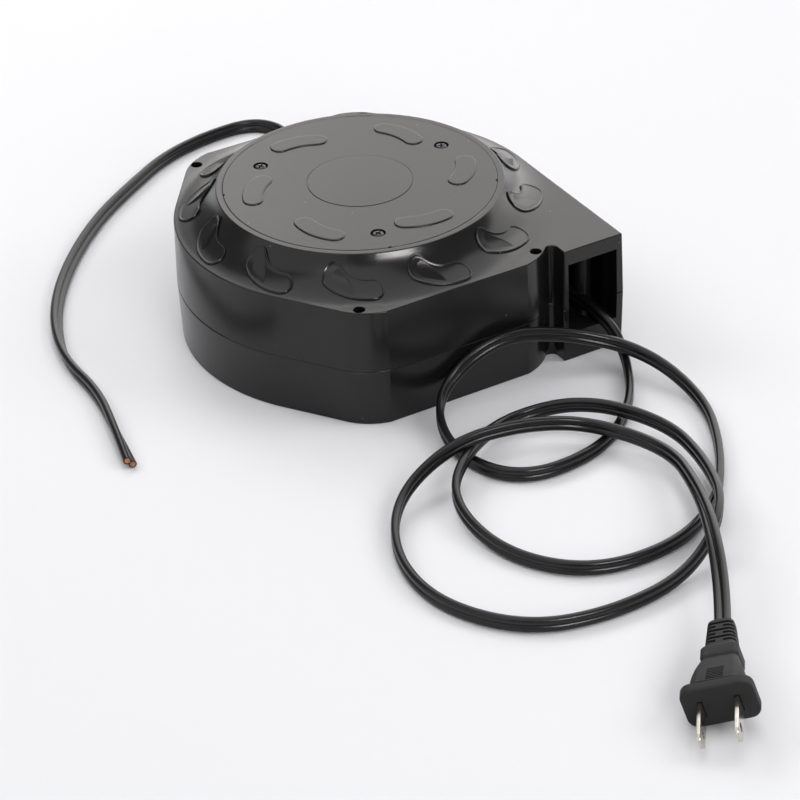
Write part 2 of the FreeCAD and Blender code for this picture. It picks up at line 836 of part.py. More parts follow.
ROLLER_X = (ROLLER_MIDDLE_X - S.roller_spread, ROLLER_MIDDLE_X + S.roller_spread)
PAWL_X = -PAWL_PLACE
HOLDER_SCREW_Y = (S.inner_ring_radius + S.outer_ring_radius) / 2
CLAMP_SCREW_X = (S.lead_x - S.clamp_screw_offset, S.lead_x + S.clamp_screw_offset)
CLAMP_INNER_Y = S.body_radius - S.clamp_inset
CLAMP_OUTER_Y = CLAMP_INNER_Y + S.clamp_length
CLAMP_MIDDLE_Y = CLAMP_INNER_Y + S.clamp_length / 2
SMALL_SCREW_PLACES = (
    (CLAMP_SCREW_X[0], CLAMP_MIDDLE_Y, S.clamp_top),
    (CLAMP_SCREW_X[1], CLAMP_MIDDLE_Y, S.clamp_top),
    (as_size(0.0), HOLDER_SCREW_Y, S.holder_top),
)

# Lower casing
lower = casing_half("LowerCasing", S.parting_height, True)
lower = cut(lower, cylinder(DRUM_ROOM_RADIUS, S.wall, S.parting_height + 1))
lower = fuse(
    lower,
    cylinder(S.spindle_post_radius, S.wall - 0.5, S.spindle_post_top),
    cylinder(S.pawl_post_radius, S.wall - 0.5, S.pawl_post_top, PAWL_X, 0.0),
)
lower_cuts = [
    cylinder(S.spindle_radius + S.fit_clearance, -1.0, S.spindle_post_top + 1),
    cylinder(S.spindle_head_radius + 0.3, -1.0, S.spindle_low + S.spindle_head_height),
    cylinder(S.pawl_pin_radius + S.fit_clearance, 1.0, S.pawl_post_top + 1, PAWL_X, 0.0),
    mouth(S.mouth_low, S.parting_height + 1),
    cylinder_along_y(
        S.grommet_radius + S.fit_clearance, GROMMET_INNER_Y - 6, GROMMET_OUTER_Y, S.lead_x, S.lead_z,
    ),
]
lower_cuts += roller_pin_holes(S.mouth_low - S.roller_pin_hold - 0.5, S.mouth_low + 1)
for x_way, y_way in MOUNT_PLACES:
    screw_x = CASE_SCREW_X * x_way
    screw_y = CASE_SCREW_Y * y_way
    hole = S.screw_radius + S.through_clearance
    lower_cuts.append(cylinder(
        S.mount_hole_radius, -1.0, S.parting_height + 1, MOUNT_X * x_way, MOUNT_Y * y_way,
    ))
    lower_cuts.append(cylinder(S.case_screw_well, -1.0, S.case_screw_seat, screw_x, screw_y))
    lower_cuts.append(cylinder(hole, 0.0, S.parting_height + 1, screw_x, screw_y))
for x, y, seat in SMALL_SCREW_PLACES:
    lower_cuts.append(cylinder(S.small_screw_radius + S.pilot_clearance, 0.9, S.wall + 1, x, y))
node("lower_casing", cut(lower, *lower_cuts))

# Upper casing: the skirt is turned out of the padded outline, the pads are added and trimmed to it
upper_body = casing_half("UpperCasing", RIM_HEIGHT - S.parting_height, False)
RIM_SHARE = S.rim_round / (S.flare_radius + S.rim_round)
RIM_END_X = RIM_X + (FLARE_FOOT - RIM_X) * RIM_SHARE
RIM_END_Z = RIM_Z + (FLARE_Z - RIM_Z) * RIM_SHARE
OUTSIDE = S.body_radius + 50
ABOVE = RIM_HEIGHT + 8
skirt_sketch = new_sketch(upper_body, "XZ_Plane")
draw(skirt_sketch, (
    (RIM_X, RIM_HEIGHT, -S.rim_round),
    (RIM_END_X, RIM_END_Z, S.flare_radius),
    (FLARE_FOOT, S.plate_height, None),
    (OUTSIDE, S.plate_height, None),
    (OUTSIDE, ABOVE, None),
    (RIM_X, ABOVE, None),
))
turned(upper_body, skirt_sketch, "Groove")
bean_sketch = new_sketch(upper_body, "XY_Plane", S.plate_height - 1)
draw_bean(
    bean_sketch, S.skirt_pad_start, SKIRT_PAD_PLACE, S.skirt_pad_tilt, S.skirt_pad_spacing,
    S.skirt_pad_lobe, S.skirt_pad_back, S.skirt_pad_belly,
)
repeat(upper_body, pad(upper_body, bean_sketch, RIM_HEIGHT - S.plate_height), S.skirt_pad_count)
RAISED_RADIUS = S.flare_radius - S.pad_rise
RAISED_X = FLARE_FOOT - other_leg(RAISED_RADIUS, FLARE_Z - RIM_HEIGHT)
trim_sketch = new_sketch(upper_body, "XZ_Plane")
draw(trim_sketch, (
    (RAISED_X, RIM_HEIGHT, RAISED_RADIUS),
    (FLARE_FOOT, S.plate_height + S.pad_rise, None),
    (OUTSIDE, S.plate_height + S.pad_rise, None),
    (OUTSIDE, ABOVE, None),
    (RAISED_X, ABOVE, None),
))
upper_body.Tip = turned(upper_body, trim_sketch, "Groove")

SKIRT_CORE_RADIUS = S.flare_radius + S.wall
SKIRT_CORE_TOP = RIM_HEIGHT - 4.5
SKIRT_CORE_TOP_X = FLARE_FOOT - other_leg(SKIRT_CORE_RADIUS, FLARE_Z - SKIRT_CORE_TOP)
SKIRT_CORE_FOOT_Z = FLARE_Z - other_leg(SKIRT_CORE_RADIUS, FLARE_FOOT - DRUM_ROOM_RADIUS)
skirt_core = turned_solid("SkirtCore", (
    (SPRING_ROOM_RADIUS + S.wall, PARTITION_LOW - 1, None),
    (DRUM_ROOM_RADIUS, PARTITION_LOW - 1, None),
    (DRUM_ROOM_RADIUS, SKIRT_CORE_FOOT_Z, -SKIRT_CORE_RADIUS),
    (SKIRT_CORE_TOP_X, SKIRT_CORE_TOP, None),
    (SPRING_ROOM_RADIUS + S.wall, SKIRT_CORE_TOP, None),
))
upper = cut(
    upper_body,
    cylinder(DRUM_ROOM_RADIUS, S.parting_height - 1, PARTITION_LOW),
    skirt_core,
    cylinder(SPRING_ROOM_RADIUS, S.plate_height, RIM_HEIGHT + 1),
    cylinder(COVER_RADIUS + S.cover_gap, COVER_LOW, RIM_HEIGHT + 1),
)
LUG_GAP_ANGLE = 6.4
upper_posts = []
upper_cuts = [
    cylinder(S.hub_hole_radius, PARTITION_LOW - 1, S.plate_height + 1),
    mouth(S.parting_height - 1, MOUTH_HIGH),
]
upper_cuts += roller_pin_holes(MOUTH_HIGH - 1, MOUTH_HIGH + S.roller_pin_hold)
for angle in COVER_SCREW_ANGLES:
    x, y = round_the_axis(COVER_SCREW_PLACE, angle)
    upper_posts.append(cylinder(S.cover_post_radius, PARTITION_LOW, COVER_LOW, x, y))
    upper_cuts.append(cylinder(S.screw_radius + S.pilot_clearance, S.plate_height + 0.5, COVER_LOW + 1, x, y))
for side in (-1, 1):
    x, y = round_the_axis(LUG_REACH - 2.5, S.lug_angle + side * LUG_GAP_ANGLE)
    upper_posts.append(cylinder(S.lug_post_radius, PARTITION_LOW, SPRING_CASE_TOP, x, y))
for x_way, y_way in MOUNT_PLACES:
    screw_x = CASE_SCREW_X * x_way
    screw_y = CASE_SCREW_Y * y_way
    hole = S.screw_radius + S.pilot_clearance
    upper_cuts.append(cylinder(S.mount_hole_radius, 0.0, RIM_HEIGHT, MOUNT_X * x_way, MOUNT_Y * y_way))
    upper_cuts.append(cylinder(hole, S.parting_height - 1, S.parting_height + 13, screw_x, screw_y))
node("upper_casing", cut(fuse(upper, *upper_posts), *upper_cuts))

# Round cover over the spring, with its six pads, its label and its screws
cover_body = turned_solid("SpringCover", (
    (0.0, COVER_LOW, None),
    (COVER_RADIUS, COVER_LOW, None),
    (COVER_RADIUS, COVER_TOP - S.cover_chamfer, None),
    (COVER_RADIUS - S.cover_chamfer, COVER_TOP, None),
    (0.0, COVER_TOP, None),
))
cover_pad_sketch = new_sketch(cover_body, "XY_Plane", COVER_TOP - 0.5)
draw_bean(
    cover_pad_sketch, S.cover_pad_start, COVER_PAD_PLACE, S.cover_pad_tilt, S.cover_pad_spacing,
    S.cover_pad_lobe, S.cover_pad_back, S.cover_pad_belly,
)
repeat(cover_body, pad(cover_body, cover_pad_sketch, S.cover_pad_rise + 0.5), S.cover_pad_count)
SOCKET_RADIUS = S.spindle_radius + S.fit_clearance
cover = fuse(cover_body, cylinder(S.spindle_post_radius, ARBOR_TOP + 0.4, COVER_LOW + 0.5))
cover_cuts = [
    cylinder(SOCKET_RADIUS, ARBOR_TOP, SPINDLE_TOP + 0.2),
    cylinder(S.label_radius + S.fit_clearance, COVER_TOP - S.label_recess, COVER_TOP + 1),
]
cover_screws = []
for angle in COVER_SCREW_ANGLES:
    x, y = round_the_axis(COVER_SCREW_PLACE, angle)
    cover_cuts.append(countersink(x, y, COVER_TOP, -1, 6.0, S.cover_screw_head))
    cover_screws.append(countersunk(x, y, COVER_TOP, -1, S.cover_screw_length, S.cover_screw_head))
for angle in GATE_NOTCH_ANGLES:
    x, y = round_the_axis(COVER_RADIUS, angle)
    cover_cuts.append(cylinder(S.gate_notch_radius, COVER_TOP - 0.8, COVER_TOP + 1, x, y))
node("spring_cover", cut(cover, *cover_cuts))
LABEL_LOW = COVER_TOP - S.label_recess
node("cover_label", cylinder(S.label_radius, LABEL_LOW, LABEL_LOW + S.label_thickness))
node("cover_screws", together(*cover_screws))

# Screws that hold the casing halves together, driven from below
case_screws = []
for x_way, y_way in MOUNT_PLACES:
    x = CASE_SCREW_X * x_way
    y = CASE_SCREW_Y * y_way
    slot = S.case_screw_head * 0.6
    thin = S.case_screw_head * 0.15
    head_low = S.case_screw_seat - S.case_screw_head_height
    head = cylinder(S.case_screw_head, head_low, S.case_screw_seat, x, y)
    shank = cylinder(S.screw_radius, S.case_screw_seat, S.case_screw_seat + S.case_screw_length, x, y)
    case_screws.append(cut(
        fuse(head, shank),
        box(x - slot, x + slot, y - thin, y + thin, head_low - 1, head_low + 1.2),
        box(x - thin, x + thin, y - slot, y + slot, head_low - 1, head_low + 1.2),
    ))
node("casing_screws", together(*case_screws))

# Fixed spindle, pressed through the floor with its head in a recess
spindle_head_top = S.spindle_low + S.spindle_head_height
node("spindle", turned_solid("Spindle", (
    (0.0, S.spindle_low, None),
    (S.spindle_head_radius, S.spindle_low, None),
    (S.spindle_head_radius, spindle_head_top, None),
    (S.spindle_radius, spindle_head_top, None),
    (S.spindle_radius, SPINDLE_TOP - 0.6, None),
    (S.spindle_radius - 0.6, SPINDLE_TOP, None),
    (0.0, SPINDLE_TOP, None),
)))

# Drum: a core with a hub and a web, two flanges and two bushes
BUSH_OUTER = S.bush_radius
HUB_BORE = S.bush_radius + S.fit_clearance
POST_ANGLES = (45.0, 135.0, 225.0, 315.0)
POST_PLACES = [round_the_axis(S.flange_screw_place, angle) for angle in POST_ANGLES]
CORE_WEB_TOP = CORE_WEB_LOW + S.core_web_thickness
core = turned_solid("DrumCore", (
    (HUB_BORE, HUB_LOW, None),
    (S.hub_radius, HUB_LOW, None),
    (S.hub_radius, CORE_WEB_LOW, None),
    (S.core_inner_radius, CORE_WEB_LOW, None),
    (S.core_inner_radius, CORE_LOW, None),
    (S.core_radius, CORE_LOW, None),
    (S.core_radius, CORE_TOP, None),
    (S.core_inner_radius, CORE_TOP, None),
    (S.core_inner_radius, CORE_WEB_TOP, None),
    (S.hub_radius, CORE_WEB_TOP, None),
    (S.hub_radius, HUB_TOP, None),
    (S.spigot_radius, HUB_TOP, None),
    (S.spigot_radius, SPIGOT_TOP, None),
    (HUB_BORE, SPIGOT_TOP, None),
))
HALF_KEY = S.key_width / 2
core = fuse(
    core,
    box(S.spigot_radius - 0.5, S.key_reach, -HALF_KEY, HALF_KEY, HUB_TOP - 0.5, SPIGOT_TOP),
    *[cylinder(S.flange_screw_post, CORE_LOW, CORE_TOP, x, y) for x, y in POST_PLACES],
)
PILOT = S.screw_radius + S.pilot_clearance
core_pilots = []
flange_screws = []
for x, y in POST_PLACES:
    core_pilots.append(cylinder(PILOT, CORE_LOW - 1, FLANGE_LOW + S.flange_screw_length + 0.5, x, y))
    core_pilots.append(cylinder(PILOT, FLANGE_TOP - S.flange_screw_length - 0.5, CORE_TOP + 1, x, y))
    flange_screws.append(countersunk(x, y, FLANGE_LOW, 1, S.flange_screw_length, S.flange_screw_head))
    flange_screws.append(countersunk(x, y, FLANGE_TOP, -1, S.flange_screw_length, S.flange_screw_head))
core_pilots.append(box(-33.0, -31.5, -1.5, 1.5, CORE_WEB_TOP - 4, CORE_WEB_TOP + 1))
node("drum_core", cut(core, *core_pilots))
node("flange_screws", together(*flange_screws))

lower_flange_body = turned_solid("DrumLowerFlange", (
    (S.hub_radius + S.fit_clearance, FLANGE_LOW, None),
    (RATCHET_INNER_RADIUS, FLANGE_LOW, None),
    (RATCHET_INNER_RADIUS, RATCHET_LOW, None),
    (RATCHET_RADIUS, RATCHET_LOW, None),
    (RATCHET_RADIUS, FLANGE_LOW, None),
    (FLANGE_RADIUS, FLANGE_LOW, None),
    (FLANGE_RADIUS, CORE_LOW, None),
    (S.hub_radius + S.fit_clearance, CORE_LOW, None),
))
NOTCH_ROOT = RATCHET_RADIUS - S.ratchet_depth
NOTCH_END_ANGLE = S.ratchet_stop_angle + S.ratchet_notch_angle
notch_sketch = new_sketch(lower_flange_body, "XY_Plane", RATCHET_LOW - 1)
NOTCH_OUT = RATCHET_RADIUS + 1.5
draw(notch_sketch, (
    round_the_axis(NOTCH_ROOT, S.ratchet_stop_angle) + (None,),
    round_the_axis(NOTCH_OUT, S.ratchet_stop_angle) + (None,),
    round_the_axis(NOTCH_OUT, NOTCH_END_ANGLE) + (None,),
    round_the_axis(RATCHET_RADIUS, NOTCH_END_ANGLE) + (None,),
))
notch = lower_flange_body.newObject("PartDesign::Pocket", "Notch")
notch.Profile = notch_sketch
notch.Reversed = True
bind(notch, "Length", FLANGE_LOW - RATCHET_LOW + 1)
repeat(lower_flange_body, notch, S.ratchet_count)
node("drum_lower_flange", cut(
    lower_flange_body,
    *[countersink(x, y, FLANGE_LOW, 1, 6.0, S.flange_screw_head) for x, y in POST_PLACES],
))
upper_flange_body = turned_solid("DrumUpperFlange", (
    (S.hub_radius + S.fit_clearance, CORE_TOP, None),
    (FLANGE_RADIUS, CORE_TOP, None),
    (FLANGE_RADIUS, FLANGE_TOP + 0.6, None),
    (FLANGE_RADIUS - S.flange_bead, FLANGE_TOP + 0.6, None),
    (FLANGE_RADIUS - S.flange_bead, FLANGE_TOP, None),
    (S.hub_radius + S.fit_clearance, FLANGE_TOP, None),
))
node("drum_upper_flange", cut(
    upper_flange_body,
    *[countersink(x, y, FLANGE_TOP, -1, 6.0, S.flange_screw_head) for x, y in POST_PLACES],
))
BUSH_BORE = S.spindle_radius + S.running_clearance
node("lower_bush", ring(BUSH_BORE, BUSH_OUTER, HUB_LOW, HUB_LOW + S.bush_length))
node("upper_bush", ring(BUSH_BORE, BUSH_OUTER, SPIGOT_TOP - S.bush_length, SPIGOT_TOP))

# Two slip rings under the drum and two brushes below them
CARRIER_LOW = FLANGE_LOW - S.carrier_thickness
RING_LOW = CARRIER_LOW - S.ring_thickness
node("slip_ring_carrier", ring(S.hub_radius + S.fit_clearance, S.carrier_radius, CARRIER_LOW, FLANGE_LOW))


def slip_ring(radius):
    return ring(radius - S.ring_half_width, radius + S.ring_half_width, RING_LOW, CARRIER_LOW)


def brush(y):
    half = S.brush_width / 2
    top = RING_LOW - S.running_clearance
    return box(-half, half, y - half, y + half, top - S.brush_length, top)


def brush_pocket(y):
    half = S.brush_width / 2 + S.running_clearance
    return box(-half, half, y - half, y + half, S.wall + 0.7, S.holder_top + 1)


node("slip_ring_inner", slip_ring(S.inner_ring_radius))
node("slip_ring_outer", slip_ring(S.outer_ring_radius))
node("brush_inner", brush(S.inner_ring_radius))
node("brush_outer", brush(S.outer_ring_radius))
BRUSH_LOW = RING_LOW - S.running_clearance - S.brush_length
node("brush_springs", together(
    ring(0.8, 1.25, S.wall + 0.7, BRUSH_LOW, 0.0, S.inner_ring_radius),
    ring(0.8, 1.25, S.wall + 0.7, BRUSH_LOW, 0.0, S.outer_ring_radius),
))
SMALL_HOLE = S.small_screw_radius + S.fit_clearance
node("brush_holder", cut(
    box(-S.holder_half_width, S.holder_half_width, S.holder_near, S.holder_far, S.wall, S.holder_top),
    brush_pocket(S.inner_ring_radius),
    brush_pocket(S.outer_ring_radius),
    countersink(0.0, HOLDER_SCREW_Y, S.holder_top, -1, 7.0, S.small_screw_head, S.small_screw_radius),
))
node("small_screws", together(*[
    countersunk(x, y, seat, -1, seat - 1.0, S.small_screw_head, S.small_screw_radius)
    for x, y, seat in SMALL_SCREW_PLACES
]))

# Spring: arbor on the drum's spigot, case on the casing, and the flat spring wound between them
half_slot = HALF_KEY + S.running_clearance
node("spring_arbor", cut(
    ring(S.spigot_radius + S.fit_clearance, S.arbor_radius, HUB_TOP, ARBOR_TOP),
    box(
        S.spigot_radius - 1, S.key_reach + S.running_clearance,
        -half_slot, half_slot, HUB_TOP - 1, ARBOR_TOP + 1,
    ),
))
CASE_INNER = SPRING_CASE_RADIUS - S.spring_case_wall
case = turned_solid("SpringCase", (
    (S.spring_case_hole, S.plate_height, None),
    (SPRING_CASE_RADIUS, S.plate_height, None),
    (SPRING_CASE_RADIUS, SPRING_CASE_TOP, None),
    (CASE_INNER, SPRING_CASE_TOP, None),
    (CASE_INNER, S.plate_height + S.spring_case_floor, None),
    (S.spring_case_hole, S.plate_height + S.spring_case_floor, None),
))
HALF_LUG = S.lug_width / 2
node("spring_case", fuse(case, box(
    SPRING_CASE_RADIUS - 1, LUG_REACH, -HALF_LUG, HALF_LUG, S.plate_height, SPRING_CASE_TOP, S.lug_angle,
)))


def spiral(first_radius, last_radius, pitch):
    """Half circles about two centres in turn, each larger than the one before it."""
    edges = []
    radius = first_radius
    side = 1
    middle = 0.0
    while radius < last_radius:
        start = FreeCAD.Vector(middle + side * radius, 0, 0)
        top = FreeCAD.Vector(middle, side * radius, 0)
        end = FreeCAD.Vector(middle - side * radius, 0, 0)
        edges.append(Part.Arc(start, top, end).toShape())
        middle += side * pitch / 2
        radius += pitch / 2
        side = -side
    return edges


def spring_strip():
    """A wound flat strip, clear of the arbor and of the case by the soft clearance."""
    pitch = S.strip_pitch.value
    thick = S.strip_thickness.value
    first = S.arbor_radius.value + S.soft_clearance.value + pitch / 2
    last = CASE_INNER.value - S.soft_clearance.value - thick - pitch / 2
    inside = spiral(first, last, pitch)
    outside = spiral(first + thick, last + thick, pitch)
    caps = []
    for index, end in ((0, 0), (-1, 1)):
        near = inside[index].Vertexes[end].Point
        far = outside[index].Vertexes[end].Point
        caps.append(Part.LineSegment(near, far).toShape())
    outline = Part.Wire(Part.__sortEdges__(inside + outside + caps))
    strip = Part.Face(outline).extrude(FreeCAD.Vector(0, 0, STRIP_WIDTH.value))
    thing = doc.addObject("Part::Feature", "Mainspring")
    thing.Shape = strip
    bind(thing, "Placement.Base.z", STRIP_LOW)
    return thing


node("mainspring", spring_strip())

# Pawl beside the ratchet, on its own pin, with a light spring
node("pawl_pin", fuse(
    cylinder(S.pawl_pin_radius, 1.0, S.pawl_pin_top, PAWL_X, 0.0),
    cylinder(S.pawl_pin_head, S.pawl_pin_top - 0.5, S.pawl_pin_top, PAWL_X, 0.0),
))
pawl_body = new_body("Pawl")
pawl_sketch = new_sketch(pawl_body, "XY_Plane", S.pawl_low)
draw(pawl_sketch, (
    (PAWL_X + S.pawl_boss_radius * 0.8, as_size(1.5), None),
    (PAWL_X + S.pawl_lean, S.pawl_reach, None),
    (PAWL_X + S.pawl_lean - S.pawl_tip, S.pawl_reach + 0.6, None),
    (PAWL_X - S.pawl_boss_radius * 0.75, as_size(2.0), None),
))
pawl_body.Tip = pad(pawl_body, pawl_sketch, S.pawl_top - S.pawl_low)
node("ratchet_pawl", cut(
    fuse(pawl_body, cylinder(S.pawl_boss_radius, S.pawl_low, S.pawl_top, PAWL_X, 0.0)),
    cylinder(S.pawl_pin_radius + S.running_clearance, S.pawl_low - 1, S.pawl_top + 1, PAWL_X, 0.0),
))
node("pawl_spring", ring(
    S.pawl_pin_radius + 0.2, S.pawl_pin_radius + 0.9, S.pawl_post_top, S.pawl_low - 0.1, PAWL_X, 0.0,
))

# Guide rollers in the mouth
for name, x in zip(("guide_roller_left", "guide_roller_right"), ROLLER_X):
    low = S.mouth_low + S.roller_end_gap
    high = MOUTH_HIGH - S.roller_end_gap
    node(name, ring(S.roller_pin_radius + S.running_clearance, S.roller_radius, low, high, x, ROLLER_Y))
pin_low = S.mouth_low - S.roller_pin_hold
pin_high = MOUTH_HIGH + S.roller_pin_hold - 0.2
node("roller_pins", together(*[
    cylinder(S.roller_pin_radius, pin_low, pin_high, x, ROLLER_Y) for x in ROLLER_X
]))

# Cord: wound on the drum, straight to the rollers, then free to the plug
CORD_RADIUS = S.cord_diameter / 2
EXIT = (S.exit_x.value, S.exit_y.value, S.exit_z.value)
node("wound_cord", ring(
    S.core_radius + S.soft_clearance, S.wound_radius,
    CORE_LOW + S.soft_clearance, CORE_TOP - S.soft_clearance,
))
node("cord_anchor", box(
    -S.core_inner_radius + S.anchor_gap, -S.core_inner_radius + 5,
    -5.0, 5.0, CORE_WEB_TOP, CORE_WEB_TOP + 7,
))
leave_radius = S.wound_radius + S.soft_clearance + CORD_RADIUS
exit_distance = math.hypot(EXIT[0], EXIT[1])
leave_angle = math.atan2(EXIT[1], EXIT[0]) + math.acos(leave_radius.value / exit_distance)
leave = (
    leave_radius.value * math.cos(leave_angle),
    leave_radius.value * math.sin(leave_angle),
    EXIT[2],
)
node("inner_cord", tube("InnerCord", (leave, EXIT), S.cord_diameter.value))

PLUG_TURN = FreeCAD.Rotation(FreeCAD.Vector(0, 0, 1), PLUG_YAW)
PLUG_TURN = PLUG_TURN.multiply(FreeCAD.Rotation(FreeCAD.Vector(0, 1, 0), -PLUG_PITCH))
PLUG_TURN = PLUG_TURN.multiply(FreeCAD.Rotation(FreeCAD.Vector(1, 0, 0), PLUG_ROLL))
# Plug axes to part axes: its z points back along the cord, its y up
PLUG_TURN = PLUG_TURN.multiply(FreeCAD.Rotation(FreeCAD.Vector(0, 0, 1), FreeCAD.Vector(-1, 0, 0)))
PLUG_TURN = PLUG_TURN.multiply(FreeCAD.Rotation(FreeCAD.Vector(0, 0, 1), -90))
PLUG_FACE = FreeCAD.Vector(S.plug_x.value, S.plug_y.value, S.plug_z.value)
SHELL_START = S.plug_face_thickness
BLOCK_START = SHELL_START + S.plug_shell_length
RELIEF_START = BLOCK_START + S.plug_block_length
PLUG_LENGTH = RELIEF_START + S.relief_length
PLUG_BACK = PLUG_TURN.multVec(FreeCAD.Vector(0, 0, 1))
CORD_END = PLUG_FACE + PLUG_BACK * PLUG_LENGTH.value
node("plug_cord", tube("PlugCord", (EXIT,) + PLUG_CORD_ROUTE + (tuple(CORD_END),), S.cord_diameter.value))


def on_the_plug(thing):
    """Places a piece drawn in the plug's own axes."""
    thing.Placement.Rotation = PLUG_TURN
    place(thing, S.plug_x, S.plug_y, S.plug_z)
    return thing


def rounded_bar(name, width, height, corner, start, length, taper=None):
    body = new_body(name)
    sketch = new_sketch(body, "XY_Plane", start)
    draw_rounded_box(sketch, width, height, corner)
    body.Tip = pad(body, sketch, length, False, taper)
    return body


def blade_box(side, gap, front, back):
    x = S.blade_spacing * (side / 2.0)
    half_x = S.blade_thickness / 2 + gap
    half_y = S.blade_width / 2 + gap
    return box(x - half_x, x + half_x, -S.blade_drop - half_y, half_y - S.blade_drop, -as_size(front), back)


plug = fuse(
    rounded_bar(
        "PlugFace", S.plug_face_width, S.plug_face_height, S.plug_face_round,
        as_size(0.0), SHELL_START,
    ),
    rounded_bar(
        "PlugShell", S.plug_shell_width, S.plug_shell_height, S.plug_shell_round,
        SHELL_START - 0.1, S.plug_shell_length + 0.1, S.plug_shell_taper,
    ),
    rounded_bar(
        "PlugBlock", S.plug_block_width, S.plug_block_height, S.plug_block_round,
        BLOCK_START - 1, S.plug_block_length + 1,
    ),
)
blade_hold = S.blade_root + S.fit_clearance
plug = cut(plug, *[blade_box(side, S.fit_clearance, 1.0, blade_hold) for side in (-1, 1)])
node("plug_body", on_the_plug(plug))

blades = []
for side in (-1, 1):
    x = S.blade_spacing * (side / 2.0)
    blade = blade_box(side, 0.0, S.blade_length, S.blade_root)
    hole = doc.addObject("Part::Cylinder", "Hole")
    hole.Placement.Rotation = FreeCAD.Rotation(FreeCAD.Vector(0, 1, 0), 90)
    bind(hole, "Radius", S.blade_hole_radius)
    bind(hole, "Height", S.blade_thickness + 2)
    place(hole, x - S.blade_thickness / 2 - 1, -S.blade_drop, -S.blade_hole_place)
    corner_cuts = []
    for way in (-1, 1):
        corner = doc.addObject("Part::Box", "Corner")
        corner.Placement.Rotation = FreeCAD.Rotation(FreeCAD.Vector(1, 0, 0), 45)
        bind(corner, "Length", S.blade_thickness + 2)
        bind(corner, "Width", S.blade_tip_cut * 1.414)
        bind(corner, "Height", S.blade_tip_cut * 1.414)
        edge_y = S.blade_width * (way / 2.0) - S.blade_drop
        place(corner, x - S.blade_thickness / 2 - 1, edge_y, -S.blade_length - S.blade_tip_cut)
        corner_cuts.append(corner)
    blades.append(cut(blade, hole, *corner_cuts))
node("plug_blades", on_the_plug(together(*blades)))

relief = rounded_bar(
    "StrainRelief", S.relief_width, S.relief_height, S.relief_round,
    RELIEF_START, S.relief_length, S.relief_taper,
)
slots = []
for index in range(4):
    low = RELIEF_START + 2.2 + S.relief_slot_pitch * index
    high = low + S.relief_slot
    for side in (-1, 1):
        near = S.relief_core_half
        far = S.relief_width
        if index % 2:
            limits = (near, far, -far, far) if side > 0 else (-far, -near, -far, far)
        else:
            limits = (-far, far, near, far) if side > 0 else (-far, far, -far, -near)
        slots.append(box(*limits, low, high))
node("plug_strain_relief", on_the_plug(cut(relief, *slots)))

# Supply lead: through a grommet in the back wall, clamped inside, then two wires to the brushes
lead_bore = CORD_RADIUS + S.soft_clearance
node("lead_grommet", cut(
    fuse(
        cylinder_along_y(S.grommet_radius, GROMMET_INNER_Y, GROMMET_OUTER_Y, S.lead_x, S.lead_z),
        cylinder_along_y(
            S.grommet_flange_radius, GROMMET_FLANGE_Y, GROMMET_OUTER_Y, S.lead_x, S.lead_z,
        ),
        cone_along_y(
            S.grommet_radius, S.grommet_tail_radius, GROMMET_OUTER_Y, LEAD_OUT_Y, S.lead_x, S.lead_z,
        ),
    ),
    cylinder_along_y(lead_bore, GROMMET_INNER_Y - 1, LEAD_OUT_Y + 1, S.lead_x, S.lead_z),
))
node("lead_clamp", cut(
    box(
        S.lead_x - S.clamp_half_width, S.lead_x + S.clamp_half_width,
        CLAMP_INNER_Y, CLAMP_OUTER_Y, S.wall, S.clamp_top,
    ),
    cylinder_along_y(lead_bore, CLAMP_INNER_Y - 1, CLAMP_OUTER_Y + 1, S.lead_x, S.lead_z),
    *[
        countersink(x, CLAMP_MIDDLE_Y, S.clamp_top, -1, 8.0, S.small_screw_head, S.small_screw_radius)
        for x in CLAMP_SCREW_X
    ],
))
LEAD_START = (S.lead_x.value, CLAMP_INNER_Y.value - 1, S.lead_z.value)
LEAD_OUT = (S.lead_x.value, LEAD_OUT_Y.value, S.lead_z.value)
# The outer lead leaves at a slant, so the inner one stops short of it
LEAD_STOP = (LEAD_OUT[0], LEAD_OUT[1] - S.lead_stop_gap.value, LEAD_OUT[2])
node("lead_inner", tube("LeadInner", (LEAD_START, LEAD_STOP), S.cord_diameter.value))
node("fixed_lead", tube("FixedLead", (LEAD_OUT,) + LEAD_ROUTE, S.cord_diameter.value))

holder_side = S.holder_half_width.value + 0.05
WIRE_START_Y = LEAD_START[1]
wires = []
for name, start_x, corners, end_y in (
    ("InnerWire", 21.0, ((21.0, 33.0), (15.0, 15.75)), S.inner_ring_radius.value),
    ("OuterWire", 23.0, ((23.0, 34.0), (17.5, 24.75)), S.outer_ring_radius.value),
):
    route = [(start_x, WIRE_START_Y, S.lead_z.value)]
    route += [(x, y, S.lead_z.value) for x, y in corners]
    route.append((holder_side, end_y, S.lead_z.value))
    wires.append(tube(name, route, S.wire_diameter.value))
node("lead_wires", together(*wires))

lead_end = FreeCAD.Vector(*LEAD_ROUTE[-1])
lead_way = (lead_end - FreeCAD.Vector(*LEAD_ROUTE[-2])).normalize()
lead_side = FreeCAD.Vector(-lead_way.y, lead_way.x, 0)
strands = []
for side in (-1, 1):
    start = lead_end + lead_side * (side * S.core_wire_offset.value)
    end = start + lead_way * S.core_wire_length.value
    strands.append(tube("Strand", (tuple(start), tuple(end)), S.core_wire_radius.value * 2))
node("lead_cores", together(*strands))

doc.recompute()
for thing in doc.Objects:
    if "Invalid" in thing.State or "Error" in thing.State:
        raise RuntimeError("%s (%s) is not right: %s" % (thing.Name, thing.Label, thing.State))
os.makedirs("parts", exist_ok=True)
for thing in nodes:
    if thing.Shape.isNull() or not thing.Shape.isValid() or not thing.Shape.Solids:
        raise RuntimeError("%s has no sound shape" % thing.Label)
    thing.Shape.exportStep("parts/%s.step" % thing.Label)
    print("%-20s solids %d volume %.1f" % (thing.Label, len(thing.Shape.Solids), thing.Shape.Volume))
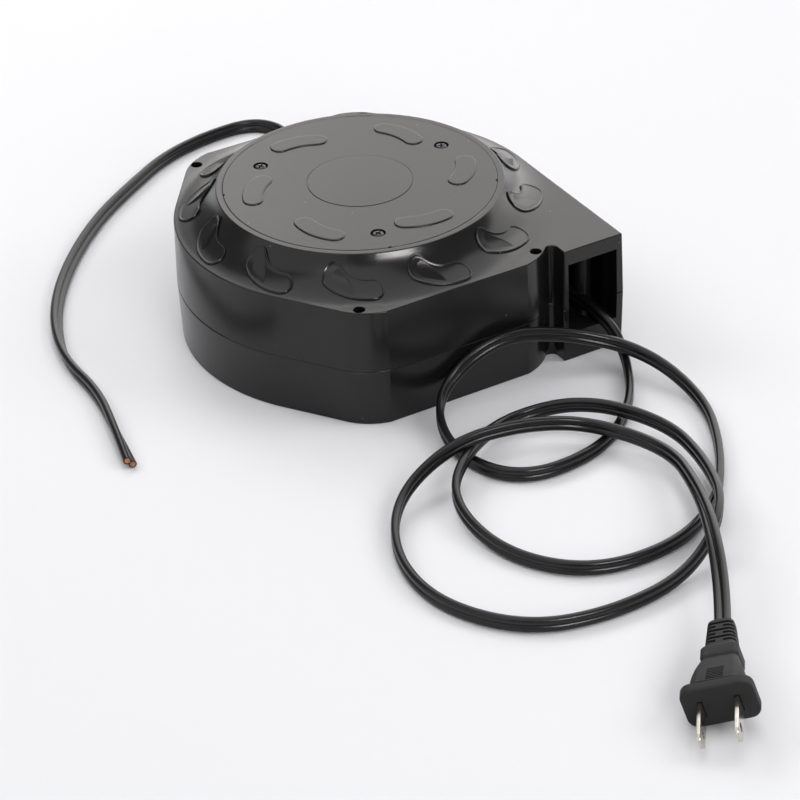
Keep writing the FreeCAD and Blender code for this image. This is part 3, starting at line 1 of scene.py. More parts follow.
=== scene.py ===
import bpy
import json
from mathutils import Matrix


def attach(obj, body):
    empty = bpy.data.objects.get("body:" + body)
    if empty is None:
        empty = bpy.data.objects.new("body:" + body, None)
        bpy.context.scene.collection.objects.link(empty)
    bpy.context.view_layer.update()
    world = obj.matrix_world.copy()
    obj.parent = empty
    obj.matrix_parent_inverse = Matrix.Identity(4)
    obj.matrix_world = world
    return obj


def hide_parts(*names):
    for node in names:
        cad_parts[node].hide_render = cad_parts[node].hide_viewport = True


bl_info = {
    "name": "Extension Cord Reel",
    "version": (1, 0, 0),
    "blender": (4, 5, 0),
    "location": "View3D > Sidebar > Cord Reel",
    "description": "Dresses the packed model of a spring-wound extension cord reel",
    "category": "Object",
}

import json
import math

import bmesh
import bpy
from bpy.props import FloatProperty, IntProperty, PointerProperty
from mathutils import Matrix, Vector

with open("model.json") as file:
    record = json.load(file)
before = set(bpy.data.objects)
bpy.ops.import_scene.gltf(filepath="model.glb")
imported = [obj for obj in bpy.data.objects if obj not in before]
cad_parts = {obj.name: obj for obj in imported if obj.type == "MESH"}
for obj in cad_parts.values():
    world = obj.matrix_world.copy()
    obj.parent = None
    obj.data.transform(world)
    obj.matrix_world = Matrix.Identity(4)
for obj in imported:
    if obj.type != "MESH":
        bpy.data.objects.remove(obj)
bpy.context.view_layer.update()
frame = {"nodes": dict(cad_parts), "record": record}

MM = 0.001

# The cord from the rollers to the plug, in millimetres. It follows the route of the solid cord, with
# points moved a little so that it lies as in the photograph.
EXIT = (60.3, -49.0, 19.0)
PLUG_CORD_ROUTE = (
    (65.3, -76.2, 17.2),
    (66.5, -90.5, 3.4),
    (48.5, -120.0, 3.2),
    (21.8, -138.6, 3.2),
    (-13.5, -138.6, 3.2),
    (-25.6, -107.8, 3.2),
    (-13.0, -76.5, 7.5),
    (13.0, -79.0, 26.5),
    (47.0, -80.0, 16.5),
    (71.0, -98.0, 9.0),
    (75.0, -131.0, 3.2),
    (61.0, -161.0, 3.2),
    (41.0, -188.0, 3.2),
    (12.0, -203.0, 3.2),
    (-22.4, -199.8, 3.2),
    (-43.0, -173.0, 3.2),
    (-43.2, -137.4, 6.0),
    (-22.0, -117.0, 9.5),
    (6.2, -101.8, 4.5),
    (30.2, -116.8, 11.6),
    (51.0, -141.0, 7.0),
    (47.0, -172.0, 8.0),
    (33.0, -203.0, 12.0),
    (7.0, -219.0, 3.2),
    (-27.3, -223.4, 3.2),
    (-58.0, -215.0, 3.2),
    (-77.0, -187.0, 3.2),
    (-76.0, -155.0, 3.2),
    (-59.0, -126.0, 5.0),
    (-30.0, -116.4, 13.0),
    (-2.2, -120.6, 14.6),
    (25.0, -127.6, 9.4),
    (41.0, -157.0, 8.0),
    (31.0, -188.0, 13.0),
    (18.0, -216.0, 17.0),
    (2.4, -244.5, 12.8),
)

# The supply lead from the grommet in the back wall round the left side to its bare end.
LEAD_START = (22.0, 94.2, 6.5)
LEAD_ROUTE = (
    (23.5, 113.0, 2.4),
    (33.0, 132.0, 2.4),
    (45.0, 149.5, 2.9),
    (36.5, 167.0, 3.0),
    (11.8, 166.6, 3.0),
    (-12.4, 159.6, 3.0),
    (-35.4, 144.6, 3.0),
    (-58.7, 127.7, 3.0),
    (-80.7, 105.7, 2.9),
    (-99.6, 80.9, 2.8),
    (-112.5, 56.1, 2.8),
    (-120.0, 29.6, 3.0),
    (-119.0, 2.0, 3.1),
    (-124.2, -25.0, 3.1),
    (-129.0, -48.0, 2.8),
)

# Lean of the lead's cut end, in degrees
LEAD_END_TILT = -45.0

# The plug's own axes in the row frame: back along the cord, up, and across.
PLUG_PLACE = Vector((-31.8, -290.7, 11.57)) * MM
PLUG_BACK = Vector((0.5967, 0.8006, 0.0550)).normalized()
PLUG_UP = Vector((-0.2205, 0.0977, 0.9705))
PLUG_ACROSS = PLUG_UP.cross(PLUG_BACK).normalized()
PLUG_UP = PLUG_BACK.cross(PLUG_ACROSS)
# It lies rolled a little further onto its lower corner
PLUG_ROLL = Matrix.Rotation(math.radians(-4), 4, "Z")
PLUG_AXES = Matrix((PLUG_ACROSS, PLUG_UP, PLUG_BACK)).transposed().to_4x4()
PLUG_FRAME = Matrix.Translation(PLUG_PLACE) @ PLUG_AXES @ PLUG_ROLL
PLUG_LENGTH = 40.6
# The shell and the strain relief sit this far below the middle of the plug's place
AXIS_DROP = 1.6
# Where the shell, the block behind it and the strain relief start, behind the plug's face
SHELL_START = 4.3
BLOCK_START = 19.8
RELIEF_START = 25.2
# Each blade stands this far to its side of the middle, and this far below the plug's place
BLADE_OFFSET = 6.35
BLADE_DROP = 1.46

# The camera that the photograph was taken with, solved from the casing's outline
FOCAL_PIXELS = 2919.26
PHOTO_WIDTH = 800
CAMERA_PLACE = (-0.4755, -0.8902, 0.6196)
CAMERA_PITCH = math.radians(33.27)
CAMERA_ROLL = -0.0412
LEVEL_AHEAD = Vector((0.4818, 0.8763, 0.0)).normalized()
LEVEL_RIGHT = Vector((0.8763, -0.4818, 0.0)).normalized()


class CasingSettings(bpy.types.PropertyGroup):
    """Sizes of the two casing halves"""

    edge_round: FloatProperty(
        name="Edge round", description="Radius of the plate's outer edge", default=0.45 * MM, unit="LENGTH",
    )
    corner_round: FloatProperty(
        name="Corner round", description="Radius of the outlet box's upright corners", default=1.0 * MM,
        unit="LENGTH",
    )
    seam: FloatProperty(
        name="Seam", description="Chamfer that each half has at the parting line", default=0.35 * MM,
        unit="LENGTH",
    )


class CoverSettings(bpy.types.PropertyGroup):
    """Sizes of the round cover"""

    edge_round: FloatProperty(
        name="Edge round", description="Radius of the cover's rim", default=0.25 * MM, unit="LENGTH",
    )
    pad_round: FloatProperty(
        name="Pad round", description="Width of the rounded edge of each raised pad", default=0.6 * MM,
        unit="LENGTH",
    )
    pad_count: IntProperty(name="Pads", description="Raised pads on the cover", default=6, min=0, max=12)


class CordSettings(bpy.types.PropertyGroup):
    """Section of the flat twin cord"""

    width: FloatProperty(
        name="Width", description="Width across both wires", default=5.9 * MM, unit="LENGTH",
    )
    thickness: FloatProperty(
        name="Thickness", description="Thickness over one wire", default=3.1 * MM, unit="LENGTH",
    )
    squareness: FloatProperty(
        name="Squareness", description="2 gives round wires, more gives flatter sides", default=2.15,
        min=2.0, max=5.0,
    )


class StageSettings(bpy.types.PropertyGroup):
    """Floor and light"""

    floor_size: FloatProperty(
        name="Floor", description="Half the side of the floor", default=6.0, unit="LENGTH",
    )
    key_power: FloatProperty(
        name="Key light", description="Power of the lamp behind the camera", default=8.2, unit="POWER",
    )
    card_power: FloatProperty(
        name="Card", description="Power of the white card at the right", default=31.0, unit="POWER",
    )
    sheet_power: FloatProperty(
        name="Sheet", description="Power of the white sheet overhead", default=14.1, unit="POWER",
    )
    rear_power: FloatProperty(
        name="Rear light", description="Power of the lamp over the back of the floor", default=6.0,
        unit="POWER",
    )
    room_light: FloatProperty(
        name="Room light", description="Strength of the light from all round", default=0.2,
    )


# Small tools

def linear(code):
    """The linear colour of an sRGB hex value."""
    channels = [int(code[place:place + 2], 16) / 255 for place in (1, 3, 5)]
    return [c / 12.92 if c <= 0.04045 else ((c + 0.055) / 1.055) ** 2.4 for c in channels] + [1.0]


def add_node(material, kind, settings=None, inputs=None):
    """Adds a node with its settings, and its inputs as values or as outputs of other nodes."""
    node = material.node_tree.nodes.new(kind)
    for name, value in (settings or {}).items():
        setattr(node, name, value)
    for name, value in (inputs or {}).items():
        if isinstance(value, bpy.types.NodeSocket):
            material.node_tree.links.new(value, node.inputs[name])
        else:
            node.inputs[name].default_value = value
    return node


def new_material(name, **values):
    """A material with the shader's plain values set on its own sockets."""
    material = bpy.data.materials.new(name)
    material.use_nodes = True
    shader = material.node_tree.nodes["Principled BSDF"]
    for socket, value in values.items():
        shader.inputs[socket.replace("_", " ")].default_value = value
    return material, shader


def drive(material, value, node, socket):
    """Links a node's output to a socket."""
    material.node_tree.links.new(value, node.inputs[socket])


def rows_per_metre(millimetres):
    """A noise scale whose grains are this wide on Object coordinates."""
    return 1.0 / (millimetres * MM)


# Sizes of the casing and the cover, in millimetres

# Outline: a round body, ears with blunt ends, and an outlet box at the front right
BODY_RADIUS = 75.0
EAR_RADIUS = 25.0
EAR_X = 25.615
EAR_Y = 50.59
EAR_END = 31.02
EAR_RISE = 24.41
BOX_LEFT = 47.0
VALLEY = (45.0, -69.38)
VALLEY_RADIUS = 2.0
DRAFT = math.tan(math.radians(1.5))
CORNERS = ((-1, -1), (1, -1), (1, 1), (-1, 1))

# Heights, and the hollow inside the walls
PARTING = 23.7
PLATE = 49.7
ROOM_RADIUS = 71.5
ROOM_FLOOR = 2.5
ROOM_TOP = 47.2

# The flare is an arc about this place, from the plate up to the rim
FLARE_FOOT = 76.4
FLARE_Z = 71.7
FLARE_RADIUS = 22.0
RIM_ROUND = 0.6
RIM_HEIGHT = 61.5

# The cover in its seat
SEAT_RADIUS = 54.35
SEAT_FLOOR = 59.1
COVER_RADIUS = 54.25
COVER_TOP = 61.6
SPRING_ROOM = 51.0
DISC_RECESS = 61.4

# Screws and holes
MOUNT_X = 39.0
MOUNT_Y = 67.5
MOUNT_RADIUS = 2.25
CASE_SCREW_X = 28.0
CASE_SCREW_Y = 70.2
CASE_WELL = 2.9
COVER_SCREW_REACH = 42.3
COVER_SCREWS = (-110.0, 10.0, 130.0)
COVER_SCREW_TURNS = (20.0, 62.0, 35.0)
COVER_NOTCHES = (158.9, -107.2, -33.3)

# Kidney-shaped pads: how they stand round the axis, and the four arcs of their outline
SKIRT_PADS = {
    "start": -2.0, "count": 12, "reach": 65.0, "tilt": 18.9, "spacing": 15.9, "lobe": 4.4,
    "back": 22.4, "belly": 11.7, "edge": 0.4, "sunk": 0.4, "bead": 0.75,
}
COVER_PADS = {
    "start": -22.0, "reach": 40.5, "tilt": 19.0, "spacing": 15.8, "lobe": 4.1,
    "back": 24.3, "belly": 21.4, "sunk": 0.2,
}
SKIRT_PAD_RISE = 0.4
COVER_PAD_RISE = 0.45


def arc(x, y, radius, start, end, count, inset=0.0, hollow=False):
    """Points along an arc, moved inwards by an inset. A hollow arc is a concave one."""
    reach = radius + inset if hollow else radius - inset
    points = []
    for step in range(count + 1):
        angle = math.radians(start + (end - start) * step / count)
        points.append((x + reach * math.cos(angle), y + reach * math.sin(angle)))
    return points


def rounded_corner(x, y, radius, start, inset):
    """An upright corner of the outlet box. Its radius shrinks as the outline moves inwards."""
    kept = max(radius - inset, 0.04)
    shift = inset - (radius - kept)
    middle = math.radians(start + 45)
    x -= shift * math.sqrt(2) * math.cos(middle)
    y -= shift * math.sqrt(2) * math.sin(middle)
    return arc(x, y, kept, start, start + 90, 5)


def casing_outline(inset, corner=1.0):
    """The outline of both halves, moved inwards. Every inset gives as many points."""
    front = -BODY_RADIUS + inset
    slant = math.degrees(math.atan2(EAR_RISE, EAR_END - EAR_X))
    blunt = inset * math.tan(math.radians(90 - slant) / 2)
    valley_start = math.degrees(math.atan2(EAR_Y + VALLEY[1], VALLEY[0] - EAR_X))
    points = [(-EAR_END + blunt, front), (EAR_END - blunt, front)]
    points += arc(EAR_X, -EAR_Y, EAR_RADIUS, -slant, valley_start, 12, inset)[1:]
    points += arc(*VALLEY, VALLEY_RADIUS, 180 + valley_start, 0.0, 10, inset, hollow=True)[1:]
    points += rounded_corner(BOX_LEFT + corner, -BODY_RADIUS + corner, corner, 180, inset)
    points += rounded_corner(BODY_RADIUS - corner, -BODY_RADIUS + corner, corner, 270, inset)
    points += arc(0, 0, BODY_RADIUS, 0, 35, 30, inset)
    points += arc(EAR_X, EAR_Y, EAR_RADIUS, 35, slant, 14, inset)
    points += arc(-EAR_X, EAR_Y, EAR_RADIUS, 180 - slant, 145, 14, inset)
    points += arc(0, 0, BODY_RADIUS, 145, 215, 60, inset)
    points += arc(-EAR_X, -EAR_Y, EAR_RADIUS, 215, 180 + slant, 14, inset)[:-1]
    return points


def whole_outline(inset, corner=1.0):
    """The outline with more points along its straight sides, at the same places at any inset."""
    base = casing_outline(0.0, corner)
    moved = casing_outline(inset, corner)
    stride = 6.0
    near_corner = 0.7
    made = []
    for start, end, new_start, new_end in zip(base, base[1:] + base[:1], moved, moved[1:] + moved[:1]):
        made.append(new_start)
        length = math.dist(start, end)
        if length < stride:
            continue
        pieces = math.ceil(length / stride)
        shares = [near_corner / length, *(step / pieces for step in range(1, pieces))]
        for share in shares + [1 - near_corner / length]:
            made.append(tuple(a + (b - a) * share for a, b in zip(new_start, new_end)))
    return made


def at_height(points, height):
    """Flat points set at one height."""
    return [(x, y, height) for x, y in points]


def skirt_height(reach, rise=0.0):
    """Height of the flare at a distance from the axis, or of a face raised off it."""
    radius = FLARE_RADIUS - rise
    away = FLARE_FOOT - reach
    if away <= 0:
        return PLATE + rise
    return FLARE_Z - math.sqrt(max(radius ** 2 - away ** 2, 0.0))


# Meshes

def ring_of(bm, points):
    """A closed loop of edges through points in millimetres."""
    corners = [bm.verts.new([c * MM for c in point]) for point in points]
    return [bm.edges.new((a, b)) for a, b in zip(corners, corners[1:] + corners[:1])]


def next_ring(bm, edges, points):
    """Extrudes a loop and lays its new corners on the next points, in the same order."""
    order = [edges[0].verts[0], edges[0].verts[1]]
    for edge in edges[1:-1]:
        order.append(edge.other_vert(order[-1]))
    made = bmesh.ops.extrude_edge_only(bm, edges=edges)["geom"]
    new_edges = [item for item in made if isinstance(item, bmesh.types.BMEdge)]
    new_verts = {item for item in made if isinstance(item, bmesh.types.BMVert)}
    pairs = {}
    for vert in order:
        for edge in vert.link_edges:
            other = edge.other_vert(vert)
            if other in new_verts:
                pairs[vert] = other
    for vert, point in zip(order, points):
        pairs[vert].co = [c * MM for c in point]
    follow = []
    for vert, other in zip(order, order[1:] + order[:1]):
        follow.append(bm.edges.get((pairs[vert], pairs[other])))
    return follow


def loft(bm, rings, close_end=True):
    """A closed skin over rings of as many points each."""
    edges = ring_of(bm, rings[0])
    bmesh.ops.contextual_create(bm, geom=edges)
    for points in rings[1:]:
        edges = next_ring(bm, edges, points)
    if close_end:
        bmesh.ops.contextual_create(bm, geom=edges)


def spun(bm, profile, steps, x=0.0, y=0.0):
    """A solid of revolution about the upright axis from (radius, height) points in millimetres."""
    side = Vector((1, 0, 0))
    verts = [bm.verts.new((side * r * MM) + Vector((0, 0, z * MM))) for r, z in profile]
    edges = [bm.edges.new(pair) for pair in zip(verts, verts[1:])]
    bmesh.ops.spin(
        bm, geom=verts + edges, cent=(0, 0, 0), axis=(0, 0, 1), angle=math.tau, steps=steps, use_merge=True,
    )
    bmesh.ops.remove_doubles(bm, verts=bm.verts, dist=1e-7)
    bmesh.ops.translate(bm, verts=bm.verts, vec=(x * MM, y * MM, 0))


def set_outwards(bm):
    """Merges points that coincide and turns every face outwards."""
    bmesh.ops.remove_doubles(bm, verts=bm.verts, dist=1e-7)
    bmesh.ops.recalc_face_normals(bm, faces=bm.faces)


def as_object(bm, name):
    """An object of the scene from a bmesh, as it is."""
    mesh = bpy.data.meshes.new(name)
    bm.to_mesh(mesh)
    bm.free()
    thing = bpy.data.objects.new(name, mesh)
    bpy.context.scene.collection.objects.link(thing)
    return thing


def finished(bm, name):
    """An object from a bmesh, with its faces set outwards."""
    set_outwards(bm)
    return as_object(bm, name)


def lofted(rings, name):
    """An object with a closed skin over rings."""
    bm = bmesh.new()
    loft(bm, rings)
    return finished(bm, name)


def turned(profile, steps, name):
    """An object turned about the upright axis."""
    bm = bmesh.new()
    spun(bm, profile, steps)
    return finished(bm, name)


def carve(thing, cutters):
    """Takes cutters, which are filled bmeshes, out of a piece."""
    for cutter_mesh in cutters:
        set_outwards(cutter_mesh)
        cutter = as_object(cutter_mesh, "cutter")
        modifier = thing.modifiers.new("cut", "BOOLEAN")
        modifier.operation = "DIFFERENCE"
        modifier.object = cutter
        modifier.solver = "EXACT"
        graph = bpy.context.evaluated_depsgraph_get()
        made = bpy.data.meshes.new_from_object(thing.evaluated_get(graph))
        thing.modifiers.clear()
        thing.data = made
        bpy.data.objects.remove(cutter)
    return thing


def cylinder(radius, low, high, x=0.0, y=0.0, segments=48, chamfer=0.0, top=False):
    """A filled cylinder to cut with. A chamfer widens its lower end, or else its upper one."""
    bm = bmesh.new()
    if chamfer:
        if top:
            profile = [(0, low), (radius, low), (radius, high - chamfer), (radius + chamfer, high)]
            profile += [(radius + chamfer, high + 1), (0, high + 1)]
        else:
            profile = [(0, low - 1), (radius + chamfer, low - 1), (radius + chamfer, low)]
            profile += [(radius, low + chamfer), (radius, high), (0, high)]
    else:
        profile = [(0, low), (radius, low), (radius, high), (0, high)]
    spun(bm, profile, segments, x, y)
    return bm


def block(low, high):
    """A filled box to cut with, between two corners in millimetres."""
    bm = bmesh.new()
    bmesh.ops.create_cube(bm, size=1.0)
    size = [(b - a) * MM for a, b in zip(low, high)]
    middle = [(a + b) / 2 * MM for a, b in zip(low, high)]
    bmesh.ops.scale(bm, vec=size, verts=bm.verts)
    bmesh.ops.translate(bm, vec=middle, verts=bm.verts)
    return bm


def lay_along_y(bm, x, z):
    """Turns what was drawn about the upright axis to lie along Y, through a point of the XZ plane."""
    bmesh.ops.rotate(bm, verts=bm.verts, cent=(0, 0, 0), matrix=Matrix.Rotation(-math.pi / 2, 3, "X"))
    bmesh.ops.translate(bm, verts=bm.verts, vec=(x * MM, 0, z * MM))


def gathered(parts):
    """One bmesh from several."""
    whole = bmesh.new()
    for part in parts:
        set_outwards(part)
        mesh = bpy.data.meshes.new("part")
        part.to_mesh(mesh)
        part.free()
        whole.from_mesh(mesh)
        bpy.data.meshes.remove(mesh)
    return whole


def cross_cutter(x, y, low, high, reach, width, angle):
    """The two arms of a cross recess, narrowing towards its floor."""
    arms = []
    floor_share = 0.62
    for quarter in (0, 90):
        arm = block((-reach, -width / 2, low), (reach, width / 2, high))
        for vert in arm.verts:
            if abs(vert.co.z - low * MM) < 1e-7 or abs(vert.co.z - high * MM) < 1e-7:
                deep = abs(vert.co.z - low * MM) < abs(vert.co.z - high * MM)
                vert.co.x *= floor_share if deep == (high > low) else 1.0
        turn = Matrix.Rotation(math.radians(angle + quarter), 3, "Z")
        bmesh.ops.rotate(arm, verts=arm.verts, cent=(0, 0, 0), matrix=turn)
        bmesh.ops.translate(arm, verts=arm.verts, vec=(x * MM, y * MM, 0))
        arms.append(arm)
    return arms


def screws(name, places, profile, recess, body, node):
    """Cross head screws at some places. The recess is its floor, its mouth, its reach and its width."""
    floor, mouth, reach, width = recess
    heads = []
    for x, y, angle in places:
        head = bmesh.new()
        spun(head, profile, 40, x, y)
        heads.append(head)
    thing = as_object(gathered(heads), name)
    for quarter in (0, 1):
        arms = [cross_cutter(x, y, floor, mouth, reach, width, angle) for x, y, angle in places]
        for pair in arms:
            pair[1 - quarter].free()
        carve(thing, [gathered([pair[quarter] for pair in arms])])
    return dress(thing, body, "dark_steel", node, smooth_angle=40)


def dress(thing, body, slot, *nodes, smooth_angle=35.0, weighted=True):
    """Finishes a piece: smooth faces, its material, its body and the solids that it stands for."""
    thing.data.polygons.foreach_set("use_smooth", [True] * len(thing.data.polygons))
    thing.data.set_sharp_from_angle(angle=math.radians(smooth_angle))
    thing.data.materials.clear()
    thing.data.materials.append(MATERIALS[slot])
    if weighted:
        modifier = thing.modifiers.new("Even shading", "WEIGHTED_NORMAL")
        modifier.keep_sharp = True
        modifier.weight = 60
    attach(thing, body)
    if nodes:
        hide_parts(*nodes)
    return thing


# Materials

MATERIALS = {}


def noise_of(material, place, width, detail, roughness=0.5):
    """Noise whose grains are some millimetres wide."""
    return add_node(material, "ShaderNodeTexNoise", None, {
        "Vector": place, "Scale": rows_per_metre(width), "Detail": detail, "Roughness": roughness,
    }).outputs["Fac"]


def vary_roughness(material, shader, noise, low, high):
    """Lets the roughness drift between two values with a noise."""
    spread = add_node(material, "ShaderNodeMapRange", None, {
        "Value": noise, "From Min": 0.3, "From Max": 0.7, "To Min": low, "To Max": high,
    })
    drive(material, spread.outputs["Result"], shader, "Roughness")


def add_grain(material, shader, noise, depth, strength):
    """Raises a noise as fine relief, so many millimetres deep."""
    bump = add_node(material, "ShaderNodeBump", None, {
        "Strength": strength, "Distance": depth * MM, "Height": noise,
    })
    drive(material, bump.outputs["Normal"], shader, "Normal")


def moulded_plastic(
    name, colour, rough, spread=0.025, grain=0.35, depth=0.012, mottle=12.0, index=1.42, dust=0.0,
):
    """Injection-moulded black plastic off a spark-eroded tool: a fine matt grain with soft highlights,
    and roughness that drifts over centimetres where the plastic flowed and hands have rubbed it."""
    material, shader = new_material(name, Base_Color=colour, Roughness=rough, IOR=index)
    place = add_node(material, "ShaderNodeTexCoord").outputs["Object"]
    fine = noise_of(material, place, grain, 3.0, 0.55)
    wide = noise_of(material, place, mottle, 4.0, 0.6)
    vary_roughness(material, shader, wide, rough - spread, rough + spread)
    add_grain(material, shader, fine, depth, 0.6)
    if dust:
        cells = add_node(material, "ShaderNodeTexVoronoi", None, {
            "Vector": place, "Scale": rows_per_metre(dust),
        })
        speck = add_node(material, "ShaderNodeMath", {"operation": "LESS_THAN"}, {
            0: cells.outputs["Distance"], 1: 0.03,
        })
        tint = add_node(material, "ShaderNodeMix", {"data_type": "RGBA"}, {
            0: speck.outputs["Value"], 6: colour, 7: linear("#77746e"),
        })
        drive(material, tint.outputs[2], shader, "Base Color")
    return material


def plain_metal(name, colour, rough, grain=0.6):
    """A plated or drawn metal: small scratches and dull patches break up its reflections."""
    material, shader = new_material(name, Base_Color=colour, Roughness=rough, Metallic=1.0)
    place = add_node(material, "ShaderNodeTexCoord").outputs["Object"]
    noise = noise_of(material, place, grain, 4.0)
    vary_roughness(material, shader, noise, rough * 0.75, rough * 1.35)
    add_grain(material, shader, noise, 0.01, 0.4)
    return material


def make_materials():
    """Every finish of the reel, by the material slot it is for."""
    return {
        # Near black with broad soft reflections and a few pale specks of dust
        "casing_plastic": moulded_plastic(
            "Moulded black ABS", linear("#161617"), 0.22, depth=0.008, dust=8.0,
        ),
        # A shade lighter and duller than the casing, so the cover reads as a part of its own
        "cover_plastic": moulded_plastic(
            "Moulded black ABS, cover", linear("#1c1b1b"), 0.25, depth=0.008, dust=8.0,
        ),
        # The cover's black with half the grain, a plain smooth disc
        "label_plastic": moulded_plastic(
            "Smooth black ABS, cover disc", linear("#1d1b1a"), 0.22, depth=0.004,
        ),
        # Dull dark grey of the parts inside
        "drum_plastic": moulded_plastic("Moulded dark grey ABS", linear("#2c2c2e"), 0.5),
        # Matt brown board with a coarser grain
        "insulator": moulded_plastic("Phenolic board", linear("#5a3a22"), 0.55, grain=0.8),
        # Pale grey metal with a soft sheen
        "steel": plain_metal("Zinc-plated steel", linear("#b9babd"), 0.32),
        # Dark grey screw heads that still catch a bright edge
        "dark_steel": plain_metal("Blackened steel screws", linear("#434347"), 0.26),
        # Bluish strip, shinier than the plated parts
        "spring_steel": plain_metal("Blue-tempered spring steel", linear("#6f7480"), 0.25),
        # Dull brownish yellow
        "bush_bronze": plain_metal("Sintered bronze", linear("#a9803f"), 0.45),
        # Clear yellow rings with soft duller patches
        "brass": plain_metal("Rolled brass", linear("#c9a860"), 0.28),
        # Dull black blocks
        "brush_carbon": moulded_plastic("Pressed carbon", linear("#1c1c1c"), 0.5, grain=0.5),
        # Smooth black rollers with a waxy shine
        "roller_plastic": moulded_plastic("Turned black acetal", linear("#1a1a1b"), 0.3, depth=0.004),
        # Deepest black, with a long thin highlight along each wire
        "cord_jacket": moulded_plastic(
            "Extruded black PVC jacket", linear("#0e0e0f"), 0.29, spread=0.015, grain=0.5, depth=0.003,
            index=1.43,
        ),
        # Softer and greyer than the casing, with almost no highlights
        "plug_plastic": moulded_plastic(
            "Moulded black PVC plug", linear("#29292a"), 0.6, depth=0.02, index=1.3, dust=4.0,
        ),
        # Bright warm silver with faint cloudy patches
        "blade_nickel": plain_metal("Nickel-plated brass", linear("#c8c3b9"), 0.2, grain=2.5),
        # Orange-pink strand ends
        "copper": plain_metal("Bare copper strand", linear("#e09a74"), 0.35),
        # Dull black, the least shiny piece of the lead
        "grommet_rubber": moulded_plastic("Moulded black rubber", linear("#161616"), 0.6),
    }


class REEL_OT_solids(bpy.types.Operator):
    """Gives every solid that stays in view the finish of its material slot"""

    bl_idname = "reel.finish_solids"
    bl_label = "Finish Solids"

    def execute(self, context):
        MATERIALS.update(make_materials())
        slots = {part["node"]: part["material_slot"] for part in frame["record"]["subparts"]}
        for name, thing in frame["nodes"].items():
            thing.data.materials.clear()
            thing.data.materials.append(MATERIALS[slots[name]])
        return {"FINISHED"}


class REEL_OT_camera(bpy.types.Operator):
    """Adds the camera at the photograph's place, angle and lens"""

    bl_idname = "reel.add_camera"
    bl_label = "Add Camera"

    def execute(self, context):
        data = bpy.data.cameras.new("camera")
        data.sensor_width = 36.0
        data.lens = FOCAL_PIXELS / PHOTO_WIDTH * 36.0
        data.clip_start = 0.05
        data.clip_end = 40.0
        camera = bpy.data.objects.new("camera", data)
        context.scene.collection.objects.link(camera)
        ahead = LEVEL_AHEAD * math.cos(CAMERA_PITCH) - Vector((0, 0, 1)) * math.sin(CAMERA_PITCH)
        up = LEVEL_RIGHT.cross(ahead)
        across = LEVEL_RIGHT * math.cos(CAMERA_ROLL) + up * math.sin(CAMERA_ROLL)
        upright = up * math.cos(CAMERA_ROLL) - LEVEL_RIGHT * math.sin(CAMERA_ROLL)
        turn = Matrix((across, upright, -ahead)).transposed()
        camera.matrix_world = Matrix.Translation(CAMERA_PLACE) @ turn.to_4x4()
        context.scene.camera = camera
        return {"FINISHED"}


def cord_section(settings):
    """The twin cord's section as a closed flat curve: two wires and the groove between them."""
    data = bpy.data.curves.new("cord section", "CURVE")
    data.dimensions = "2D"
    half = settings.thickness / 2
    middle = settings.width / 2 - half
    power = 2.0 / settings.squareness
    points = []
    for side in (1, -1):
        for step in range(-15, 16):
            angle = math.radians(11.0 * step)
            across = math.copysign(abs(math.cos(angle)) ** power, math.cos(angle))
            over = math.copysign(abs(math.sin(angle)) ** power, math.sin(angle))
            reach = middle + half * across
            if reach > 0.05 * MM:
                points.append((side * reach, side * half * over))
    spline = data.splines.new("POLY")
    spline.points.add(len(points) - 1)
    for corner, (x, y) in zip(spline.points, points):
        corner.co = (x, y, 0, 1)
    spline.use_cyclic_u = True
    thing = bpy.data.objects.new("cord section", data)
    bpy.context.scene.collection.objects.link(thing)
    return thing


def cord_line(name, points, tilts, resolution):
    """A smooth spline with the route's points as its control points."""
    data = bpy.data.curves.new(name, "CURVE")
    data.dimensions = "3D"
    data.twist_mode = "Z_UP"
    data.resolution_u = resolution
    spline = data.splines.new("NURBS")
    spline.points.add(len(points) - 1)
    for corner, point, tilt in zip(spline.points, points, tilts):
        corner.co = (*[c * MM for c in point], 1)
        corner.tilt = math.radians(tilt)
    spline.order_u = 3
    spline.use_endpoint_u = True
    thing = bpy.data.objects.new(name, data)
    bpy.context.scene.collection.objects.link(thing)
    return thing


def swept_cord(name, points, tilts, section, resolution=24):
    """The cord's mesh and the points that it follows."""
    line = cord_line(name + "_line", points, tilts, resolution)
    graph = bpy.context.evaluated_depsgraph_get()
    bare = bpy.data.meshes.new_from_object(line.evaluated_get(graph))
    path = [tuple(vert.co) for vert in bare.vertices]
    line.data.bevel_mode = "OBJECT"
    line.data.bevel_object = section
    line.data.use_fill_caps = True
    graph = bpy.context.evaluated_depsgraph_get()
    mesh = bpy.data.meshes.new_from_object(line.evaluated_get(graph))
    bpy.data.objects.remove(line)
    thing = bpy.data.objects.new(name, mesh)
    bpy.context.scene.collection.objects.link(thing)
    return thing, path


